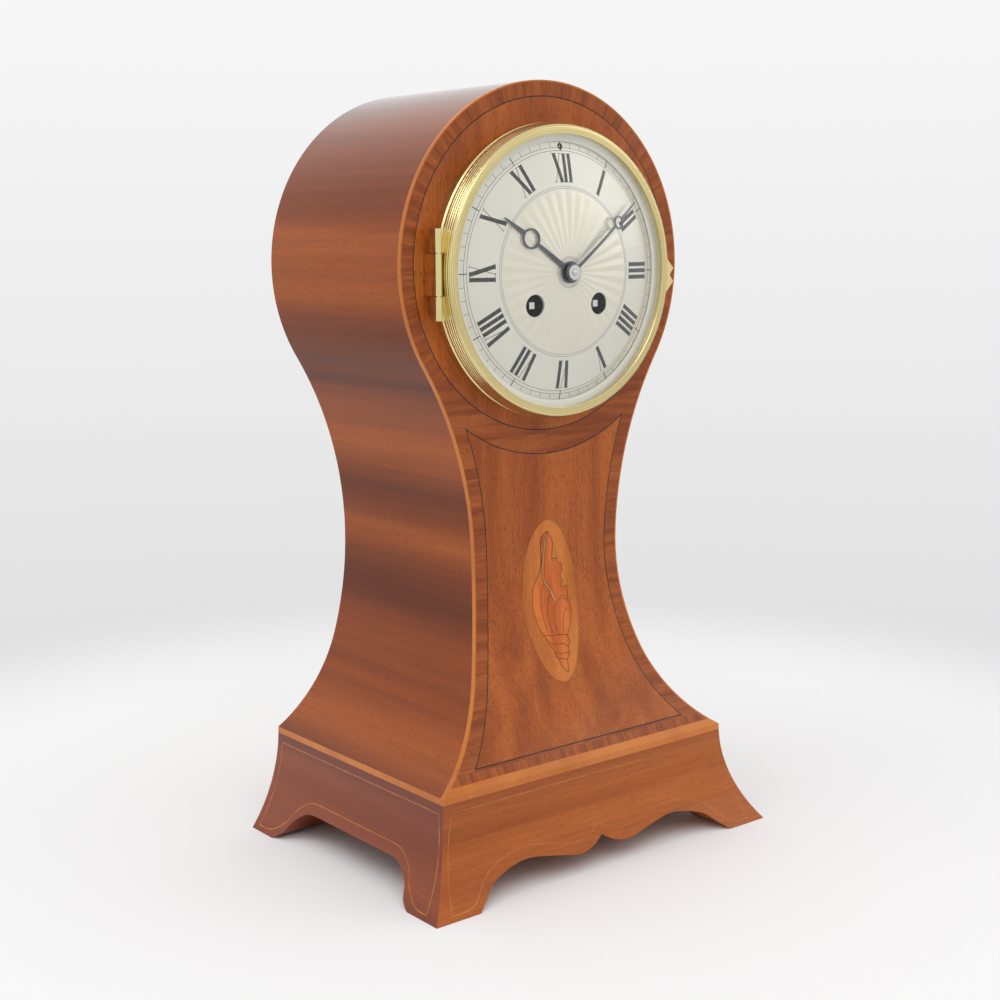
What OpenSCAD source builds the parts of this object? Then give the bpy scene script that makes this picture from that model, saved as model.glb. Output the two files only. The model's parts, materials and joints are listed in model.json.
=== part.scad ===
// Balloon mantel clock on a flared bracket plinth, with a convex dial and a two-train spring movement
// Millimetres: X to the right, Y to the back, Z up, origin on the floor under the middle of the clock

/* [Case] */
// Width of the case where it meets the plinth
plinth_w = 173; // [168:0.5:178]
// Height of the plinth
plinth_h = 49; // [46:0.5:54]
// How far the plinth flares out at the front and the sides
flare = 16.5; // [12:0.5:19]
// Radius of the drum
drum_r = 83; // [82:0.5:88]
// Height of the middle of the drum
drum_z = 277.5; // [272:0.5:290]
// Depth of the drum from its face to its back
drum_depth = 106; // [104:1:125]
// How far the waist is drawn in from the side of the drum
neck_in = 38.8; // [36:0.2:41]
// Height of the waist
waist_z = 143; // [138:1:148]
// Radius of the lower flare of the case
hip_r = 78; // [72:1:84]
// How far the front sweeps forward at the plinth
sweep = 31.5; // [26:0.5:35]
// Height at which the front starts to sweep forward
sweep_z = 150; // [145:1:158]
// Thickness of the carcass wall
wall = 9; // [7:0.5:10]
// Thickness of the front board
board_t = 8; // [6:0.5:10]
// Thickness of the back board
back_t = 8; // [6:0.5:10]
// Thickness of the floor
floor_t = 9; // [7:0.5:12]
// Thickness of the veneers
veneer_t = 0.8; // [0.6:0.1:1.2]

/* [Inlay] */
// Width of the boxwood edging on the front
edge_w = 0.7; // [0.5:0.1:1.2]
// Depth of the boxwood edging on the sides
edge_d = 1.8; // [1.2:0.1:3]
// Height of the boxwood edging along the foot of the front
foot_edge = 3; // [2:0.1:4]
// Width of the margin outside the ebony lines
band_w = 7.4; // [6.5:0.1:8]
// Width of the ebony lines
line_w = 0.5; // [0.4:0.1:0.8]
// Gap between the line round the drum and the arc over the lower panel
panel_gap = 7.9; // [6:0.1:10]
// Width of the shell oval
oval_w = 33; // [28:0.5:36]
// Height of the shell oval
oval_h = 76; // [66:0.5:80]
// Height of the middle of the oval
oval_z = 120.4; // [116:0.2:124]

/* [Plinth] */
// Thickness of the aprons at the top
apron_t = 12; // [10:0.5:14]
// Width of the boxwood strip along the top of the plinth
strip_w = 3; // [2.5:0.1:4]
// Width of the boxwood stringing
string_w = 0.5; // [0.4:0.1:0.8]
// Width of a front foot on the floor
front_foot = 24; // [20:0.5:28]
// Height of the arch in the front apron
arch_h = 14; // [12:0.5:16]
// How far the wave of the front apron hangs below the arch
wave_h = 4.7; // [3:0.1:6]
// Height of the arch in the side aprons
side_arch_h = 16; // [13:0.5:18]
// Length of a side foot on the floor
side_foot = 18; // [14:0.5:22]
// Length of the curve from a side foot to the arch
side_curve = 27; // [20:1:32]
// Height of the stringing above the lower edge
string_gap = 5; // [4.4:0.1:7]
// How far the top line of the stringing lies under the top of the plinth
string_drop = 7; // [6:0.5:9]

/* [Dial and bezel] */
// How far the dial lies below the middle of the drum
dial_drop = 2.9; // [1:0.1:4]
// Radius of the dial plate
dial_r = 59.5; // [58:0.1:60]
// Radius of curvature of the convex dial
dial_dome = 245; // [225:5:290]
// Thickness of the dial plate
dial_t = 1; // [0.8:0.1:1.4]
// How far the middle of the dial stands ahead of the drum face
dial_front = 15.6; // [15.2:0.1:16.2]
// Radius of the bezel
bezel_r = 67; // [66.5:0.1:68]
// Height of the fixed seat ring
seat_h = 4; // [3.7:0.1:4.6]
// How far the top of the domed glass stands ahead of the drum face
glass_top = 26; // [25.5:0.1:28]
// Thickness of the glass
glass_t = 1.6; // [1.2:0.1:2]
// Length of the bezel hinge
hinge_len = 39.5; // [36:0.5:44]
// Half of the distance between the winding squares
wind_x = 19.2; // [18.9:0.1:19.6]
// How far the winding squares lie under the dial centre
wind_drop = 14.6; // [14:0.1:15.2]
// Radius of the winding holes
wind_hole_r = 5; // [4.4:0.1:5.4]
// Length of the hour hand
hour_len = 43; // [40:0.5:46]
// Length of the minute hand
minute_len = 54; // [50:0.5:56]
// Hour shown at rest
show_hour = 10; // [1:1:12]
// Minute shown at rest
show_minute = 9; // [0:1:59]

/* [Movement] */
// Radius of the movement plates
plate_r = 54; // [53.5:0.1:55]
// Thickness of the movement plates
plate_t = 2; // [1.6:0.1:2.4]
// Distance between the plates
plate_gap = 36; // [36:0.5:38]
// Teeth of the barrels
barrel_n = 72; // [72:1:72]
// Module of the barrel and intermediate teeth
barrel_m = 0.5; // [0.49:0.01:0.51]
// Module of the going train teeth
train_m = 0.38; // [0.37:0.01:0.39]
// Radius of the arbors
arbor_r = 0.9; // [0.8:0.02:0.92]
// Radius of the pivots
pivot_r = 0.6; // [0.5:0.05:0.7]
// Radial clearance of running pivots
fit = 0.06; // [0.05:0.01:0.09]
// Length of the pendulum from its suspension to the middle of the bob
pendulum_len = 115; // [108:1:122]
// Radius of the pendulum bob
bob_r = 17; // [14:0.5:20]

/* [Back] */
// Radius of the opening in the back board
back_hole_r = 62.2; // [61.8:0.1:63]
// Radius of the back door
door_r = 67; // [66:0.1:68]

/* [Hidden] */
$fn = 96;
button_out = 9;
dial_z = drum_z - dial_drop;
face_y = (sweep + flare - drum_depth - button_out) / 2;
back_y = face_y + drum_depth;
front_y = face_y - sweep;
half_w = plinth_w / 2;
panel_arc_r = drum_r - band_w + line_w + panel_gap;
string_top = plinth_h - string_drop;
far = 400;
eps = 0.01;

// outline of the case: a drum, a long hollow neck arc and a tighter hip arc, all tangent
waist_half = drum_r - neck_in;
// arcs of the case outline cross by this much where they meet
arc_lap = 0.02;
neck_c = [((drum_z - waist_z) ^ 2 - neck_in ^ 2) / (2 * neck_in), waist_z];
neck_r = neck_c[0] - waist_half;
to_corner = [half_w, plinth_h] - neck_c;
hip_dot = (hip_r ^ 2 - (neck_r - hip_r) ^ 2 - norm(to_corner) ^ 2) / (2 * (neck_r - hip_r));
hip_a = atan2(to_corner[1], to_corner[0]) + acos(hip_dot / norm(to_corner));
hip_c = neck_c - (neck_r - hip_r) * [cos(hip_a), sin(hip_a)];
sweep_r = ((sweep_z - plinth_h) ^ 2 + sweep ^ 2) / (2 * sweep);
flare_r = (plinth_h ^ 2 + flare ^ 2) / (2 * flare);

// depths behind the drum face
board_back = veneer_t + board_t;
back_front = drum_depth - back_t;

// bezel, in steps ahead of the drum face
seat_in = dial_r + 2.7;
seat_tube = 2;
seat_deep = 14;
ring_gap = 0.3;
bezel_in = seat_in + 0.3;
bezel_base = seat_h + ring_gap;
rim_in = dial_r + 2.1;
rim_top = bezel_base + 9;
glass_r = bezel_in - 0.1;
glass_edge = rim_top - 1.2;
glass_sag = glass_top - glass_edge;
glass_dome = (glass_r ^ 2 + glass_sag ^ 2) / (2 * glass_sag);
sight_in = dial_r - 1.2;
sight_t = 0.35;
lip_o = dial_front - dial_dome + sqrt((dial_dome - dial_t) ^ 2 - dial_r ^ 2);
lip_w = 0.5;
sight_back = dial_front - dial_dome + sqrt(dial_dome ^ 2 - sight_in ^ 2) + ring_gap;
sight_top = glass_top - glass_dome + sqrt((glass_dome - glass_t) ^ 2 - glass_r ^ 2) - ring_gap;
hinge_r = 1.6;
door_hinge_r = 1.8;
hinge_pin_r = 0.9;
hinge_x = -bezel_r - 1.7;
hinge_o = seat_h + 4.5;
lug_gap = 0.4;
knuckle_gap = 0.5;
knuckle_mid = 18;

// movement, in depths behind the drum face
plate_front = -3;
plate_back = plate_front + plate_t + plate_gap;
plates_end = plate_back + plate_t;
gap_front = plate_front + plate_t;
shoulder = 0.3;
wheel_t = 1.2;
barrel_at = gap_front + 2;
barrel_len = 24;
barrel_teeth_t = 3;
barrel_end = barrel_at + barrel_len;
inter_p = barrel_end + 3;
strike_p = inter_p + 2.4;
centre_p = strike_p + 1.9;
third_p = gap_front + 13;
escape_p = gap_front + 25;
pin_p = gap_front + 9;
pinion_n = 12;
inter_n = 64;
centre_pinion_n = 10;
centre_n = 84;
third_pinion_n = 7;
third_n = 77;
escape_pinion_n = 7;
escape_n = 40;
escape_r = 8.5;
pin_pinion_n = 10;
pin_n = 64;
fly_pinion_n = 8;
cannon_n = 12;
minute_wheel_n = 36;
minute_pinion_n = 10;
hour_n = 40;
motion_m = 0.5;
motion_a = motion_m * (cannon_n + minute_wheel_n) / 2;
hour_m = 2 * motion_a / (minute_pinion_n + hour_n);
wind_arbor_r = 3;
wind_pivot_r = 2;
square_w = 3;
barrel_r = barrel_m * barrel_n / 2 - 0.9;
ratchet_r = 7.6;
pillar_r = 3;
pillar_at = 50;

// fronts of the motion work, hands and strap ends, in depths behind the drum face
cannon_p = plate_front - 3.4;
cannon_t = 2.2;
minute_wheel_p = cannon_p + 0.2;
minute_pinion_p = minute_wheel_p - 3;
hour_wheel_p = minute_pinion_p + 0.6;
hand_t = 0.7;
hour_hand_p = -dial_front - 1.4;
minute_hand_p = hour_hand_p - 1.6;
nut_t = 2.4;
cannon_r = 1.9;
hour_pipe_r = 2.9;
centre_r = 1.5;
stud_r = 1;
ratchet_p = plate_front - 2.2;
ratchet_t = 1.6;
square_front = -dial_front + 3.6;
click_at = 12;
strap_x = dial_r + 0.1;
strap_t = 1.8;
seat_lap = 0.5;
strap_half = 4;
strap_end = drum_depth - 2;
ear_t = 1.8;
ear_x = 55;
screw_r = 1.5;

// pendulum, hammer, gong and back, in depths behind the drum face
rod_r = 1.2;
rod_p = plates_end + 7;
swing_clear = 0.35;
crutch_len = 32;
bob_half = 4;
gong_p = 60;
gong_r = 1.3;
gong_at = [0, -6];
gong_r0 = 18;
gong_grow = 3;
gong_halves = 6;
hammer_gap = 1.5;
back_ring_t = 2;
door_p = drum_depth + back_ring_t + 0.3;
door_t = 3;
door_hinge_x = door_r + 2.4;
door_hinge_p = door_p + 1.1;
door_glass_r = 59.5;
button_x = -door_r - 3.6;
button_p = door_p + door_t + 0.3;

// arbor places in the plane of the dial, from the dial centre
going_at = [wind_x, -wind_drop];
striking_at = [-wind_x, -wind_drop];
inter_a = barrel_m * (barrel_n + pinion_n) / 2;
centre_a = barrel_m * (inter_n + centre_pinion_n) / 2;
inter_at = meet(going_at, inter_a, [0, 0], centre_a, 1);
second_at = meet(striking_at, inter_a, [0, 0], centre_a, -1);
third_x = -3;
third_at = [third_x, sqrt((train_m * (centre_n + third_pinion_n) / 2) ^ 2 - third_x ^ 2)];
escape_at = [0, third_at[1] + sqrt((train_m * (third_n + escape_pinion_n) / 2) ^ 2 - third_x ^ 2)];
anchor_rise = 12;
anchor_at = escape_at + [0, anchor_rise];
pin_at = second_at + barrel_m * (inter_n + pin_pinion_n) / 2 * [cos(120), sin(120)];
fly_at = pin_at + train_m * (pin_n + fly_pinion_n) / 2 * [cos(60), sin(60)];
hammer_at = [-42, 6];
minute_at = motion_a * [cos(45), sin(45)];
regulator_at = [0, 56.2];
pillar_angles = [35, 160, 215, 325];
feet_angles = [60, 180, 300];
feet_at = 47;
foot_r = 2;

// meeting point of two circles, on the side given by the sign
function meet(a, ra, b, rb, side) =
    let (d = norm(b - a), k = (ra ^ 2 - rb ^ 2 + d ^ 2) / (2 * d), u = (b - a) / d)
    a + k * u + side * sqrt(ra ^ 2 - k ^ 2) * [u[1], -u[0]];

// direction of a line from one arbor to another, in degrees
function toward(a, b) = atan2(b[1] - a[1], b[0] - a[0]);

// a smooth curve through a few points, with a few steps between each two
function curve(p, steps = 5) =
    [for (i = [0:len(p) - 2], s = [0:1 / steps:0.999])
        let (a = p[max(i - 1, 0)], b = p[i], c = p[i + 1], d = p[min(i + 2, len(p) - 1)])
        ((2 * b) + (c - a) * s + (2 * a - 5 * b + 4 * c - d) * s ^ 2 + (3 * b - a - 3 * c + d) * s ^ 3) / 2,
     p[len(p) - 1]];
function flip(p) = [for (i = [len(p) - 1:-1:0]) [-p[i][0], p[i][1]]];

// a closed outline moved inward by a distance
function inset(p, d) =
    [for (i = [0:len(p) - 1])
        let (n = len(p), a = p[(i + n - 1) % n], b = p[i], c = p[(i + 1) % n])
        let (u = (b - a) / norm(b - a), v = (c - b) / norm(c - b), w = u + v)
        let (t = w / norm(w), k = max(0.6, t * u))
        b + d / k * [-t[1], t[0]]];

// solids pushed along the depth of the clock, from one depth behind the drum face to another
module along(p0, p1) {
    translate([0, face_y + p1, 0])
        rotate([90, 0, 0])
            linear_extrude(p1 - p0)
                children();
}

// the same, about a place in the plane of the dial
module at(place, p0, p1) {
    translate([place[0], 0, dial_z + place[1]])
        along(p0, p1)
            children();
}

// round solids about a place in the plane of the dial, drawn as radius and depth
module turned(place = [0, 0]) {
    translate([place[0], face_y, dial_z + place[1]])
        rotate([-90, 0, 0])
            rotate_extrude()
                children();
}

// a box in radius and depth
module span(r0, r1, p0, p1) {
    translate([r0, p0])
        square([r1 - r0, p1 - p0]);
}

// a box given by its two corners
module block(a, b) {
    translate(a)
        cube(b - a);
}

// solids pushed along the width of the clock, drawn in depth and height
module across(x0, x1) {
    translate([x0, 0, 0])
        rotate([90, 0, 90])
            linear_extrude(x1 - x0)
                children();
}

// outline of the case, moved in by a distance
module case_outline(t = 0) {
    neck_dir = [cos(hip_a), sin(hip_a)];
    joint_z = neck_c[1] - (neck_r + t) * neck_dir[1];
    tangent_z = drum_z - (drum_r - t) / (drum_r + neck_r) * (drum_z - waist_z);
    translate([0, drum_z])
        circle(drum_r - t);
    difference() {
        translate([-half_w - 5, plinth_h])
            square([plinth_w + 10, tangent_z - plinth_h]);
        for (s = [0, 1])
            mirror([s, 0])
                union() {
                    intersection() {
                        translate(neck_c)
                            circle(neck_r + t + arc_lap);
                        translate([0, joint_z])
                            square(far);
                    }
                    translate(hip_c)
                        circle(hip_r + t + 2 * arc_lap);
                }
    }
}

// everything behind the swept front, moved back by a distance
module behind_front(t) {
    across(-far / 2, far / 2)
        difference() {
            translate([front_y - flare, 0])
                square([far, far]);
            translate([face_y + t - far, sweep_z])
                square(far);
            intersection() {
                translate([face_y - sweep_r, sweep_z])
                    circle(sweep_r + t, $fn = 180);
                translate([face_y - sweep_r - far, sweep_z - far])
                    square([2 * far, far]);
            }
        }
}

// a flat shape laid into the front between two depths
module front_layer(t0, t1) {
    difference() {
        intersection() {
            behind_front(t0);
            along(-sweep - flare, drum_depth)
                children();
        }
        behind_front(t1);
    }
}

// the lower panel within its ebony line, moved in by a distance
module panel_outline(t) {
    difference() {
        intersection() {
            case_outline(band_w + t);
            translate([-far / 2, plinth_h + band_w + t])
                square(far);
        }
        translate([0, dial_z])
            circle(panel_arc_r + t);
    }
}

// the front inside its boxwood edging
module within_edging() {
    intersection() {
        case_outline(edge_w);
        translate([-far / 2, plinth_h + foot_edge])
            square(far);
    }
}

module oval_outline() {
    polygon([for (a = [0:5:355]) [oval_w / 2 * cos(a), oval_z + oval_h / 2 * sin(a)]]);
}

// conch shell, point up, as shares of half the width and height of its oval
module shell_outline() {
    flank = [[0.02, 0.86], [-0.17, 0.82], [-0.25, 0.72], [-0.26, 0.44], [-0.41, 0.3], [-0.6, 0.18],
        [-0.67, 0.02], [-0.67, -0.12], [-0.55, -0.32], [-0.4, -0.43]];
    spire = [[-0.28, -0.51], [-0.25, -0.55], [-0.13, -0.64], [-0.14, -0.69], [-0.05, -0.73], [0.01, -0.82],
        [0.18, -0.89], [0.23, -0.86], [0.28, -0.75], [0.39, -0.68], [0.41, -0.61], [0.48, -0.53], [0.45, -0.47]];
    belly = [[0.6, -0.36], [0.71, -0.22], [0.72, -0.11], [0.66, -0.02]];
    lip = [[0.67, 0.14], [0.46, 0.13], [0.52, 0.22], [0.42, 0.27], [0.54, 0.34], [0.52, 0.43], [0.4, 0.44],
        [0.34, 0.51], [0.15, 0.5], [0.22, 0.7], [0.14, 0.77]];
    shell = concat(curve(flank, 3), curve(spire, 3), curve(belly, 3), lip);
    polygon([for (q = shell) [q[0] * oval_w / 2, oval_z + q[1] * oval_h / 2]]);
}

// section of a flared apron: height against distance outward from the case
module apron_section(t = 0) {
    difference() {
        translate([-apron_t, 0])
            square([apron_t + flare + 1, plinth_h]);
        translate([flare_r, plinth_h])
            circle(flare_r + t, $fn = 180);
    }
}

// the strip of boxwood at the top of an apron, as a section
module strip_section(grow = 0) {
    translate([-strip_w, plinth_h - strip_w])
        square([strip_w + 1 + grow, strip_w + grow]);
}

// a section swept along the front, mitred at both corners
module along_front() {
    intersection() {
        across(-half_w - flare - 1, half_w + flare + 1)
            translate([front_y, 0])
                mirror([1, 0])
                    children();
        linear_extrude(far)
            polygon([for (k = [[-1, flare + 1], [1, flare + 1], [1, -apron_t], [-1, -apron_t]])
                [k[0] * (half_w + k[1]), front_y - k[1]]]);
    }
}

// a section swept along the right side, mitred at the front
module along_side() {
    intersection() {
        along(-sweep - flare - 1, drum_depth)
            translate([half_w, 0])
                children();
        linear_extrude(far)
            polygon([[half_w + flare + 1, front_y - flare - 1], [half_w + flare + 1, back_y],
                [half_w - apron_t, back_y], [half_w - apron_t, front_y + apron_t]]);
    }
}

// half of the lower edge of the front apron, from the middle to the foot
arch_x = half_w + flare - front_foot;
front_edge = curve([[0, arch_h + 0.3], [arch_x * 0.08, arch_h - wave_h * 0.66],
    [arch_x * 0.2, arch_h - wave_h], [arch_x * 0.4, arch_h - wave_h * 0.4], [arch_x * 0.6, arch_h],
    [arch_x * 0.82, arch_h - 4], [arch_x * 0.93, arch_h - 10], [arch_x, 0]]);
side_front_y = front_y - flare + side_foot + 4;
side_back_y = back_y - side_foot;
side_shape = [[0, 0], [0.22, 0.2], [0.385, 0.6], [0.7, 0.94], [1, 1]];
side_rise = curve([for (k = side_shape) [side_front_y + k[0] * side_curve, k[1] * side_arch_h]]);
side_fall = curve([for (k = side_shape) [side_back_y - k[0] * side_curve, k[1] * side_arch_h]]);

module front_arch() {
    polygon(concat([[arch_x, -1], [-arch_x, -1]], flip(front_edge), front_edge));
}

module side_arch() {
    polygon(concat([[side_back_y, -1], [side_front_y, -1]], side_rise,
        [for (i = [len(side_fall) - 1:-1:0]) side_fall[i]]));
}

// loops of stringing on the front and on a side
string_end = 9.5;
string_foot = 2;
string_edge = 4;
toe = [[-0.6, string_gap - 0.8], [3, string_foot + 0.6], [7, string_foot]];
front_toe = concat([for (k = toe) [arch_x + k[0], k[1]]], [[half_w + flare - string_end, string_foot]]);
front_string = concat([for (q = front_edge) if (q[0] < arch_x - 5) q + [0, string_gap]], front_toe,
    [[half_w - string_edge, string_top]]);
front_loop = concat(front_string, [[string_edge - half_w, string_top]], flip(front_toe),
    [for (q = flip(front_edge)) if (q[0] > -arch_x + 5 && q[0] < 0) q + [0, string_gap]]);
side_loop = concat([[front_y - flare + string_end, string_foot]],
    [for (i = [2:-1:0]) [side_front_y - toe[i][0], toe[i][1]]],
    [for (q = side_rise) if (q[1] > 3) q + [0, string_gap]],
    [for (i = [len(side_fall) - 1:-1:0]) if (side_fall[i][1] > 3) side_fall[i] + [0, string_gap]],
    [for (k = toe) [side_back_y + k[0], k[1]]],
    [[back_y - string_edge, string_foot], [back_y - string_edge, string_top],
    [front_y - 1 + string_edge, string_top]]);

module loop(p) {
    difference() {
        polygon(p);
        polygon(inset(p, string_w));
    }
}

// the stringing of the front apron and of the right apron, let into the flare
module front_string_cut() {
    intersection() {
        along_front()
            difference() {
                apron_section();
                apron_section(string_w);
            }
        along(-sweep - flare - 1, 0)
            loop(front_loop);
    }
}

module side_string_cut() {
    intersection() {
        along_side()
            difference() {
                apron_section();
                apron_section(string_w);
            }
        across(half_w - apron_t, half_w + flare + 1)
            loop(side_loop);
    }
}

// toothed disc; the first tooth points along the given angle
module toothed(n, m, angle) {
    r = n * m / 2;
    step = 360 / n;
    polygon([for (i = [0:n - 1], k = [[-0.27, -1.05], [-0.1, 0.68], [0.1, 0.68], [0.27, -1.05]])
        let (a = angle + (i + k[0]) * step)
        (r + k[1] * m) * [cos(a), sin(a)]]);
}

// toothed wheel with a rim, four arms and a hub
module crossed(n, m, angle, hub_r) {
    rim_r = n * m / 2 - 3 * m - 0.8;
    difference() {
        toothed(n, m, angle);
        circle(rim_r);
    }
    for (a = [0, 90])
        rotate(a)
            square([2 * rim_r + 0.5, 1.6], center = true);
    circle(hub_r);
}

// an arbor between the plates, with a pivot in each plate
module arbor(place) {
    turned(place) {
        span(0, arbor_r, gap_front + shoulder, plate_back - shoulder);
        span(0, pivot_r, plate_front, plates_end);
    }
}

// a coil of half rings in two centres, drawn in the plane of the dial
module coil(place, p, r0, grow, halves, spin = 0) {
    translate([place[0], face_y + p, dial_z + place[1]])
        rotate([90, 0, 0])
            rotate([0, 0, spin])
                for (i = [0:halves - 1])
                    translate([i % 2 == 0 ? 0 : grow, 0, 0])
                        rotate([0, 0, 180 * i])
                            rotate_extrude(angle = 180)
                                translate([r0 + i * grow, 0])
                                    children();
}

module carcass_wall() {
    color("peru")
        difference() {
            intersection() {
                behind_front(board_back);
                along(-sweep, drum_depth)
                    difference() {
                        case_outline(veneer_t);
                        case_outline(veneer_t + wall);
                    }
            }
            back_board();
        }
}

module side_veneer() {
    color("saddlebrown")
        intersection() {
            behind_front(edge_d);
            along(-sweep, drum_depth)
                difference() {
                    case_outline();
                    case_outline(veneer_t);
                }
        }
}

module front_board() {
    color("peru")
        difference() {
            front_layer(veneer_t, board_back)
                case_outline(veneer_t);
            box_edging();
            turned()
                span(0, seat_in + seat_tube, -far / 2, far / 2);
        }
}

// veneer round the dial and on the lower panel
module field_veneer() {
    color("brown")
        front_layer(0, veneer_t)
            difference() {
                union() {
                    translate([0, drum_z])
                        circle(drum_r - band_w);
                    panel_outline(line_w);
                }
                oval_outline();
                translate([0, dial_z])
                    circle(seat_in + seat_tube);
            }
}

module crossbanding() {
    color("sienna")
        front_layer(0, veneer_t)
            difference() {
                within_edging();
                panel_outline(0);
                translate([0, drum_z])
                    circle(drum_r - band_w + line_w);
            }
}

module ebony_lines() {
    color("black")
        front_layer(0, veneer_t) {
            difference() {
                panel_outline(0);
                panel_outline(line_w);
            }
            translate([0, drum_z])
                difference() {
                    circle(drum_r - band_w + line_w);
                    circle(drum_r - band_w);
                }
        }
}

module box_edging() {
    color("burlywood")
        front_layer(0, edge_d)
            difference() {
                case_outline();
                within_edging();
            }
}

module shell_ground() {
    color("darkkhaki")
        front_layer(0, veneer_t)
            difference() {
                oval_outline();
                shell_outline();
            }
}

module shell_inlay() {
    color("orange")
        front_layer(0, veneer_t)
            shell_outline();
}

module back_board() {
    color("peru")
        along(back_front, drum_depth)
            difference() {
                case_outline(veneer_t + wall / 2);
                translate([0, dial_z])
                    circle(back_hole_r);
            }
}

module case_floor() {
    color("peru")
        block([-half_w + apron_t, front_y + apron_t, plinth_h - floor_t],
            [half_w - apron_t, back_y - apron_t, plinth_h]);
}

module front_apron() {
    color("sienna")
        difference() {
            along_front()
                difference() {
                    apron_section();
                    strip_section(1);
                }
            along(-sweep - flare - 1, apron_t + 1 - sweep)
                front_arch();
            front_string_cut();
        }
}

module right_apron() {
    color("sienna")
        difference() {
            along_side()
                difference() {
                    apron_section();
                    strip_section(1);
                }
            across(half_w - apron_t - 1, half_w + flare + 1)
                side_arch();
            side_string_cut();
        }
}

module left_apron() {
    mirror([1, 0, 0])
        right_apron();
}

module rear_apron() {
    rear_arch = half_w - apron_t - side_foot;
    color("sienna")
        along(drum_depth - apron_t, drum_depth)
            difference() {
                translate([-half_w + apron_t, 0])
                    square([2 * (half_w - apron_t), plinth_h]);
                polygon(concat([[rear_arch, -1], [-rear_arch, -1], [-rear_arch, 0]],
                    curve([[-rear_arch + 10, side_arch_h], [0, side_arch_h], [rear_arch - 10, side_arch_h]]),
                    [[rear_arch, 0]]));
            }
}

module plinth_edging() {
    color("burlywood") {
        along_front()
            intersection() {
                apron_section();
                strip_section();
            }
        for (s = [0, 1])
            mirror([s, 0, 0])
                along_side()
                    intersection() {
                        apron_section();
                        strip_section();
                    }
    }
}

module apron_stringing() {
    color("burlywood") {
        front_string_cut();
        for (s = [0, 1])
            mirror([s, 0, 0])
                side_string_cut();
    }
}

// fixed ring on the drum face, with its tube, dial lip, hinge knuckle and two straps to the back
module bezel_seat() {
    lug_z = knuckle_mid / 2;
    color("gold")
        difference() {
            union() {
                turned() {
                    span(seat_in, seat_in + seat_tube, 0, seat_deep);
                    span(seat_in, bezel_r, -seat_h, 0);
                    span(dial_r - 2.5, dial_r + lip_w, -lip_o, plate_front);
                    span(dial_r - 2.5, seat_in + eps, -seat_h, plate_front);
                }
                hinge_knuckle(-lug_z, lug_z);
                block([hinge_x - hinge_r, face_y - seat_h, dial_z - lug_z],
                    [-seat_in - seat_tube, face_y - lug_gap, dial_z + lug_z]);
                block([hinge_x - hinge_r, face_y - hinge_o, dial_z - lug_z],
                    [-bezel_r - lug_gap, face_y - lug_gap, dial_z + lug_z]);
                for (s = [0, 1])
                    mirror([s, 0, 0])
                        translate([0, 0, dial_z]) {
                            block([strap_x, face_y + plate_front - seat_lap, -strap_half],
                                [strap_x + strap_t, face_y + strap_end, strap_half]);
                            block([ear_x - 4, face_y + strap_end - ear_t, -strap_half],
                                [strap_x + strap_t, face_y + strap_end, strap_half]);
                        }
            }
            hinge_bore(hinge_pin_r);
            at(regulator_at, -dial_front, 0)
                circle(arbor_r + 0.8);
            for (x = [-ear_x, ear_x])
                at([x, 0], strap_end - ear_t - 1, strap_end + 1)
                    circle(screw_r);
        }
}

// a knuckle of the bezel hinge
module hinge_knuckle(z0, z1) {
    translate([hinge_x, face_y - hinge_o, dial_z + z0])
        cylinder(r = hinge_r, h = z1 - z0);
}

module hinge_bore(r) {
    translate([hinge_x, face_y - hinge_o, dial_z - hinge_len])
        cylinder(r = r, h = 2 * hinge_len);
}

// hinged reeded ring
module bezel_ring() {
    reeds = 5;
    reed_r = 2;
    lip_t = 0.5;
    leaf_z = knuckle_mid / 2 + knuckle_gap;
    reed_low = [bezel_r - reed_r, bezel_base + reed_r + 0.05];
    reed_high = [rim_in + reed_r + 0.4, rim_top - reed_r];
    color("gold")
        difference() {
            union() {
                turned()
                    mirror([0, 1])
                        difference() {
                            union() {
                                polygon([[bezel_in, bezel_base], [bezel_r, bezel_base], reed_low, reed_high,
                                    [reed_high[0], rim_top], [rim_in + 0.2, rim_top], [rim_in, rim_top - 0.2],
                                    [rim_in, rim_top - lip_t], [bezel_in, rim_top - lip_t]]);
                                for (k = [0:reeds - 1])
                                    translate(reed_low + (reed_high - reed_low) * k / (reeds - 1))
                                        circle(reed_r);
                            }
                            square([bezel_in, rim_top - lip_t]);
                        }
                for (s = [0, 1])
                    translate([0, 0, 2 * s * dial_z])
                        mirror([0, 0, s]) {
                            hinge_knuckle(leaf_z, hinge_len / 2);
                            block([hinge_x - hinge_r, face_y - hinge_o, dial_z + leaf_z],
                                [-bezel_in + 0.3, face_y - bezel_base - lug_gap, dial_z + hinge_len / 2]);
                        }
            }
            hinge_bore(hinge_pin_r + fit);
        }
}

module sight_ring() {
    color("whitesmoke")
        turned()
            mirror([0, 1])
                polygon([[sight_in, sight_back], [bezel_in, sight_back], [bezel_in, sight_top],
                    [sight_in, sight_back + sight_t]]);
}

module bezel_glass() {
    color("lightcyan", 0.3)
        turned()
            intersection() {
                translate([0, glass_dome - glass_top])
                    difference() {
                        circle(glass_dome, $fn = 180);
                        circle(glass_dome - glass_t, $fn = 180);
                    }
                span(0, glass_r, -glass_top - 1, 0);
            }
}

// pins of the bezel hinge and of the back door hinge
module hinge_pins() {
    color("goldenrod") {
        translate([hinge_x, face_y - hinge_o, dial_z - hinge_len / 2])
            cylinder(r = hinge_pin_r, h = hinge_len);
        translate([door_hinge_x, face_y + door_hinge_p, dial_z - hinge_len / 2])
            cylinder(r = hinge_pin_r, h = hinge_len);
    }
}

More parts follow.
